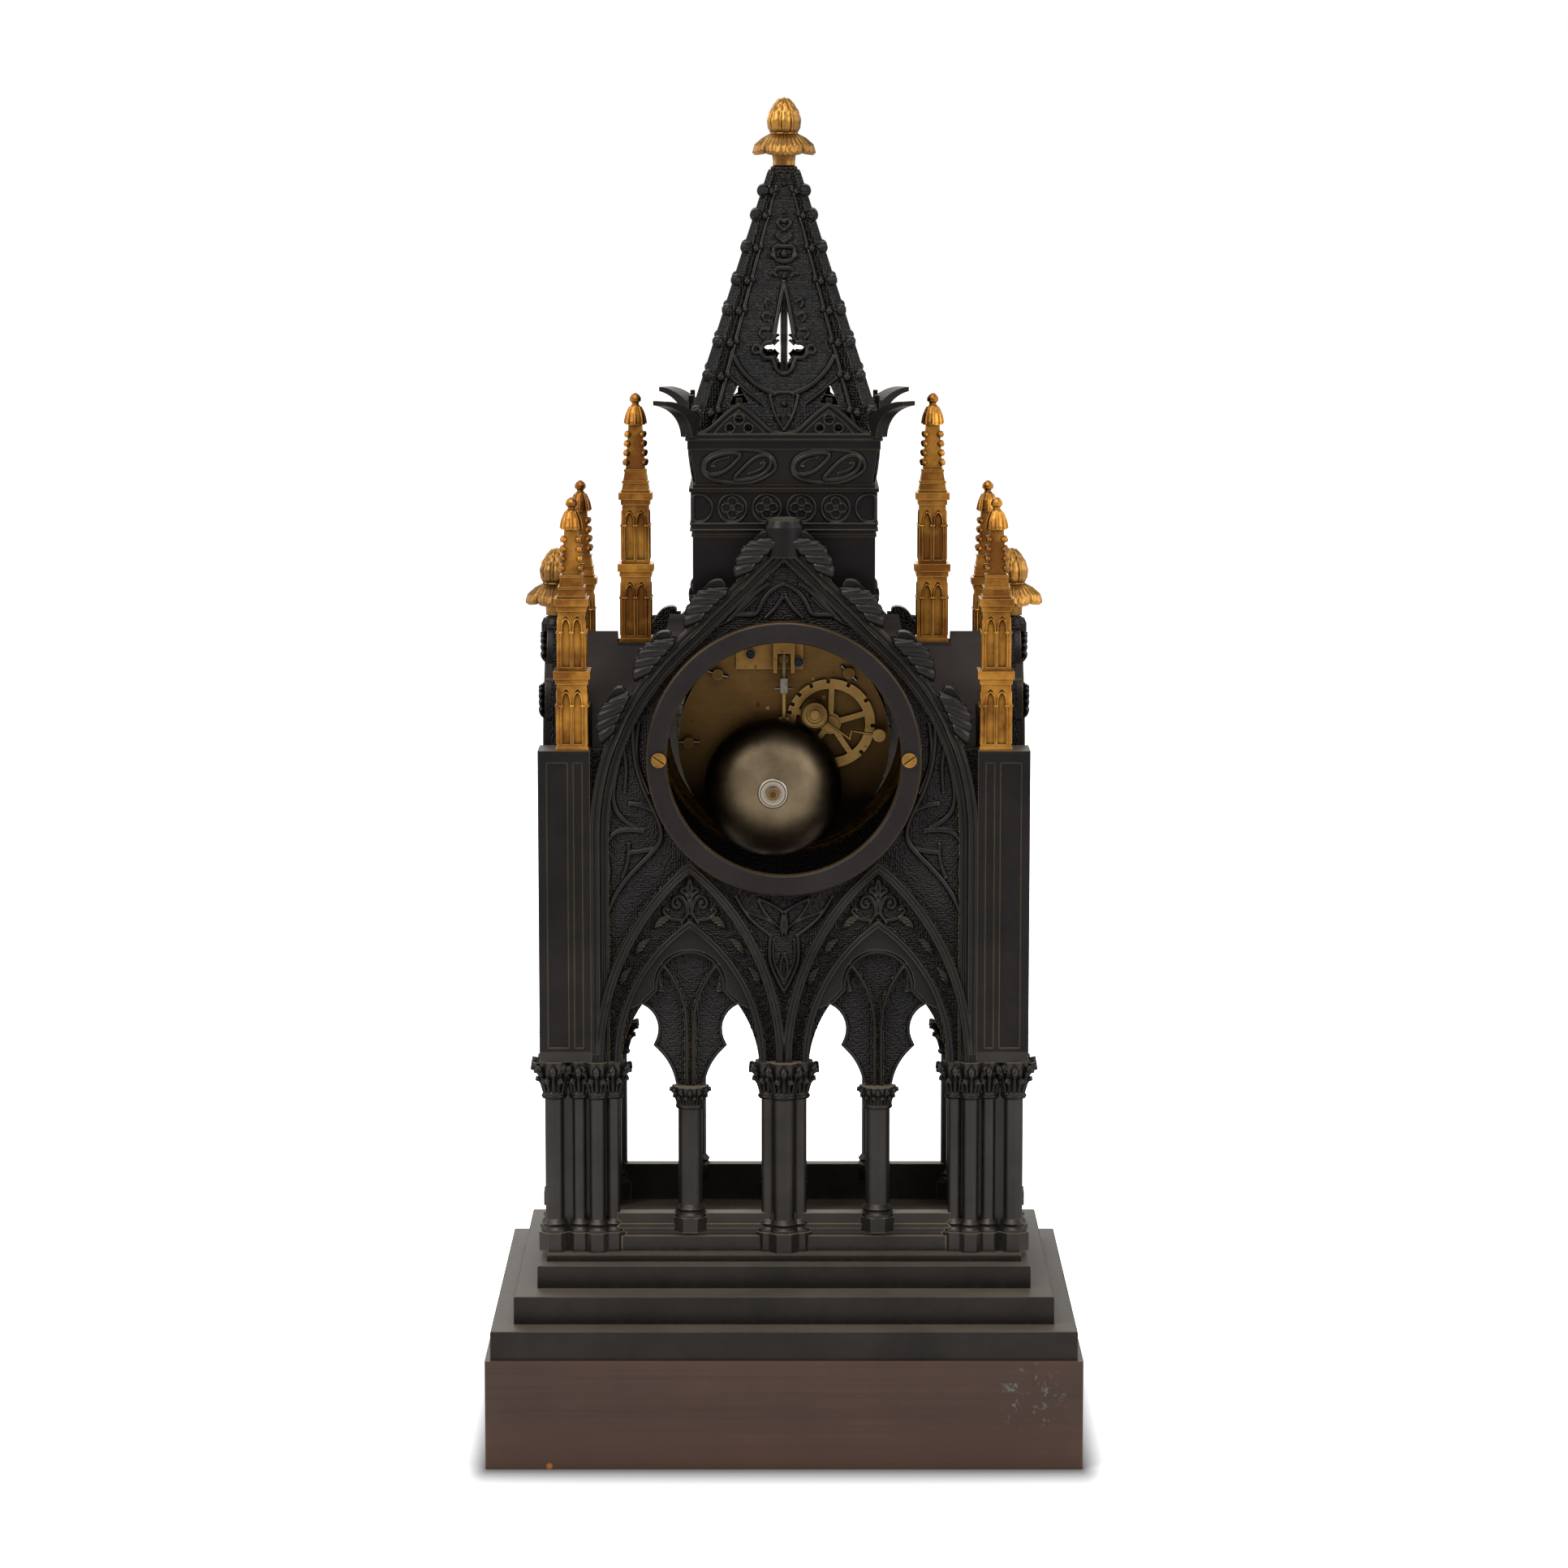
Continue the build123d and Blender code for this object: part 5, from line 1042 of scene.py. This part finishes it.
def spirelet_trim():
    """Beads up the corners of a pinnacle's needle, small capitals between its niches, ribs on its hat."""
    pearl = ball("crocket_model", 1.0, 8, 5)
    spots = []
    for k in range(4):
        out = 3.8 - 0.24 * k
        for x, y in product((-out, out), repeat=2):
            spots.append(move(x, y, 74.9 + 3.9 * k) @ sized(1.5, 1.5, 1.35))
    beads = stamp("beads", pearl, spots)
    drop(pearl)
    bars = []
    for half, z, low in ((6.2, 18.4, 2.6), (5.65, 48.6, 34.4)):
        for u in (-4.5, 0.0, 4.5):
            bars.append(flat([(u, low), (u, z)], half + 0.1, 0.45))
            bars.append(flat([(u - 0.8, z), (u + 0.8, z)], half + 0.25, 0.6))
        for u in (-2.35, 2.35):
            arch = [(u + 1.9 * cos(pi * k / 6), z + 0.6 + 5.2 * sin(pi * k / 6)) for k in range(7)]
            bars.append(flat(arch, half, 0.4))
    niches = four_sides("niche_ribs", strokes("niche_trim", bars, smooth=False))
    hat = []
    for k in range(8):
        turn = k * pi / 4
        run = [(4.2, 91.0), (4.1, 92.4), (3.5, 95.4), (2.3, 98.0)]
        hat.append(([(r * cos(turn), r * sin(turn), z) for r, z in run], [0.8, 0.75, 0.6, 0.4], False))
    return joined("crockets", [beads, niches, strokes("hat_ribs", hat)])


def screw(name):
    """A flat-headed screw seen from its head: a rounded disc with a slot across it."""
    head = primitive(name, "cylinder", vertices=28, radius=1.9 * mm, depth=1.2 * mm)
    tool = primitive("slot_tool", "cube", size=mm, location=(0, 0, 0.6 * mm))
    tool.scale = (0.5, 6.0, 1.0)
    only(head)
    edge = head.modifiers.new("edge", "BEVEL")
    edge.width = 0.35 * mm
    edge.segments = 2
    bpy.ops.object.modifier_apply(modifier="edge")
    cut = head.modifiers.new("slot", "BOOLEAN")
    cut.object = tool
    cut.operation = "DIFFERENCE"
    bpy.ops.object.modifier_apply(modifier="slot")
    drop(tool)
    return head


# Dial: each letter's strokes from end to end with their thickness, for a letter one unit tall
letter_strokes = {
    "I": [((0, -0.5), (0, 0.5), 0.17)],
    "V": [((-0.26, 0.5), (0, -0.5), 0.17), ((0.26, 0.5), (0, -0.5), 0.07)],
    "X": [((-0.27, 0.5), (0.27, -0.5), 0.17), ((0.27, 0.5), (-0.27, -0.5), 0.07)],
}
letter_width = {"I": 0.34, "V": 0.66, "X": 0.66}
hours = ["XII", "I", "II", "III", "IIII", "V", "VI", "VII", "VIII", "IX", "X", "XI"]


def numerals():
    bar = primitive("numeral_bar", "cube", size=mm)
    tall, radius, face, thin = 9.6, 37.0, 53.03, 0.12
    spots = []
    for k, text in enumerate(hours):
        turn = radians(30 * k)
        centre = move(radius * sin(turn), axis_z + radius * cos(turn), face) @ Matrix.Rotation(-turn, 4, "Z")
        at = -sum(letter_width[letter] for letter in text) / 2
        for letter in text:
            middle = at + letter_width[letter] / 2
            at += letter_width[letter]
            for a, b, thick in letter_strokes[letter]:
                run = Vector(b) - Vector(a)
                place = move((middle + (a[0] + b[0]) / 2) * tall, 0, 0)
                place = place @ Matrix.Rotation(atan2(run.y, run.x), 4, "Z")
                spots.append(centre @ place @ sized(run.length * tall, thick * tall, thin))
                for end in (a, b):
                    if letter == "V" and end[1] < 0:
                        continue
                    foot = move((middle + end[0]) * tall, end[1] * tall, 0)
                    spots.append(centre @ foot @ sized(0.3 * tall, 0.05 * tall, thin))
    made = stamp("numerals", bar, [basis("front") @ spot for spot in spots])
    drop(bar)
    return made


# Making the clock
floor = studio()
floor.data.materials.append(pale_floor())
pale_world()

back_ground, side_ground = ("Y", 0.0494), ("X", 0.0965)
wall_bronze = patina("wall_bronze", (29, 28, 28), (42, 40, 39), (76, 69, 59), (100, 86, 64), 1000, back_ground)
side_bronze = patina("side_bronze", (27, 26, 26), (39, 37, 36), (74, 66, 55), (92, 76, 54), 1000, side_ground)
spire_bronze = patina("spire_bronze", (30, 29, 29), (42, 41, 40), (70, 64, 56), (84, 74, 58), 820)
plain_bronze = patina("plain_bronze", (26, 25, 25), (38, 35, 34), (60, 54, 48), (88, 71, 49))
raised_bronze = patina("raised_bronze", (34, 33, 33), (50, 47, 46), (72, 66, 57), (108, 94, 70))
base_bronze = patina("base_bronze", (37, 35, 33), (52, 48, 46), (74, 66, 56), (104, 88, 64), deep=0.35)
arcade_bronze = patina("arcade_bronze", (43, 41, 39), (62, 58, 55), (98, 89, 76), (122, 106, 80), deep=0.25)
pier_bronze = patina(
    "pier_bronze", (31, 29, 28), (44, 41, 40), (84, 76, 66), (108, 94, 74), deep=0.1, foot=0.166
)
gilt = gilding("gilt_bronze", (176, 128, 62), (112, 80, 42), (30, 20, 10), (220, 168, 88))
dull_gilt = gilding("dull_gilt", (206, 146, 62), (122, 76, 34), (36, 22, 10), (226, 170, 88), 0.25)
# The plate's brass is a darker copy of the wheels' brass, as painted shade, and its lower half is blacker by
# painted shade too.
plate_brass = old_brass("plate_brass", (124, 93, 54), (84, 62, 34), (20, 15, 10), lower_painted_shade=1.0)
wheel_brass = old_brass("wheel_brass", (172, 137, 82), (122, 93, 52), (34, 25, 14))
cock_brass = old_brass("cock_brass", (160, 122, 66), (112, 82, 44), (30, 22, 12))
grey_steel = steel("grey_steel", (150, 144, 134), (84, 76, 66))
blued = steel("blued_steel", (44, 54, 104), (22, 26, 52), 0.2)
dark_steel = steel("dark_steel", (54, 56, 68), (26, 27, 34), 0.25)
washer = bell_fastening()

corners = ["front_right", "front_left", "back_right", "back_left"]
finishes = {
    wall_bronze: ["front_facade", "back_facade"],
    side_bronze: ["right_wall", "left_wall"],
    spire_bronze: ["spire"],
    plain_bronze: ["tower", "scroll_block", "spire_crown"],
    dull_roof(): ["roof"],
    pier_bronze: ["pier_" + corner for corner in corners],
    base_bronze: ["stepped_base"],
    arcade_bronze: ["front_arcade", "back_arcade"],
    plinth_brown(): ["plinth_block"],
    ring_dark(): ["rear_ring"],
    gilt: ["finial_top", "finial_right", "finial_left", "ring_screws", "front_bezel", "door_bezel"],
    dull_gilt: ["pinnacle_" + corner for corner in corners + ["roof_right", "roof_left"]],
    plate_brass: ["back_plate", "front_plate", "movement_straps", "plate_pillars"],
    cock_brass: ["suspension_bracket"],
    wheel_brass: [
        "going_barrel", "middle_wheel", "centre_wheel", "third_wheel", "escape_wheel", "minute_wheel",
        "hour_wheel", "strike_barrel", "second_wheel", "count_wheel", "pin_wheel", "fly", "hammer", "crutch",
    ],
    grey_steel: ["spire_rod", "going_winder", "strike_winder", "suspension_spring", "pillar_pins"],
    washer: ["bell_post"],
    blued: ["minute_hand", "hour_hand"],
    bell_grey(): ["bell"],
    enamel(): ["dial"],
    clear_glass(): ["door_glass"],
}
for finish, names in finishes.items():
    for name in names:
        mesh = nodes[name].data
        mesh.materials.clear()
        mesh.materials.append(finish)


def fit_bronze(piece):
    fit(piece, raised_bronze)


for wall, sides in ((facade_relief(), ("back", "front")), (side_relief(), ("right", "left"))):
    for side in sides:
        fit_bronze(stamp(side + "_relief", wall, [basis(side)]))
    drop(wall)
for piece in (capitals(), spire_relief(), crown_relief(), scroll_relief(), frieze_relief()):
    fit_bronze(piece)
cushion = shaped_ball("knob_model", 28, 16, knob)
fit_bronze(stamp("gable_knobs", cushion, [move(0, y, 0) for y in (-48.5, 48.5)]))
drop(cushion)
bead = ball("bead_model", 1.2, 8, 5)
spots = [move(x, y, z) for z, r in ((526.6, 5.6), (521.8, 6.0)) for x, y in circle(12, r)]
fit_bronze(stamp("collar_beads", bead, spots))
drop(bead)
turnings = []
for r, z, thick in ((4.9, 528.3, 0.75), (5.2, 527.0, 0.9), (5.3, 523.6, 0.7), (5.6, 522.0, 0.8)):
    turnings.append(flat(circle(24, r), z, thick, True))
fit_bronze(strokes("collar_rings", turnings))

bud_model = finial()
for name, x, z in (
    ("finial_top", 0.0, spire_top),
    ("finial_right", 95.25, 341.8),
    ("finial_left", -95.25, 341.8),
):
    piece = stamp(name + "_casting", bud_model, [move(x, 0, z)])
    fit(piece, gilt)
    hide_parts(name)
drop(bud_model)
trim = spirelet_trim()
spots = [(x, y, 291.6) for x, y in product((-87.0, 87.0), (-44.4, 44.4))]
spots += [(62.0, 0, 331.5), (-62.0, 0, 331.5)]
fit(stamp("pinnacle_crockets", trim, [move(*spot) for spot in spots]), dull_gilt)
drop(trim)

fit(numerals(), blued)
hammer_x, hammer_z = -12.9, axis_z + 13.2
turnings = []
for r, y, thick in ((5.1, 15.9, 0.35), (3.7, 16.3, 0.3), (2.2, 17.0, 0.3)):
    turnings.append(([(x, y, z) for x, z in circle(24, r, hammer_x, hammer_z)], thick, True))
fit(strokes("hammer_turnings", turnings), wheel_brass, "hammer")
rim = [(x, 28.15, z) for x, z in circle(32, 5.7, bell_x, bell_z)]
fit(strokes("washer_rim", [(rim, 0.75, True)], 2), washer)
head = screw("screw_model")
facing_back = Matrix.Rotation(radians(-90), 4, "X")
spots = [move(x, 3.0, axis_z + z) @ facing_back for x, z in ((14.0, 37.3), (-6.2, 34.0))]
fit(stamp("bracket_screws", head, spots), dark_steel)
drop(head)
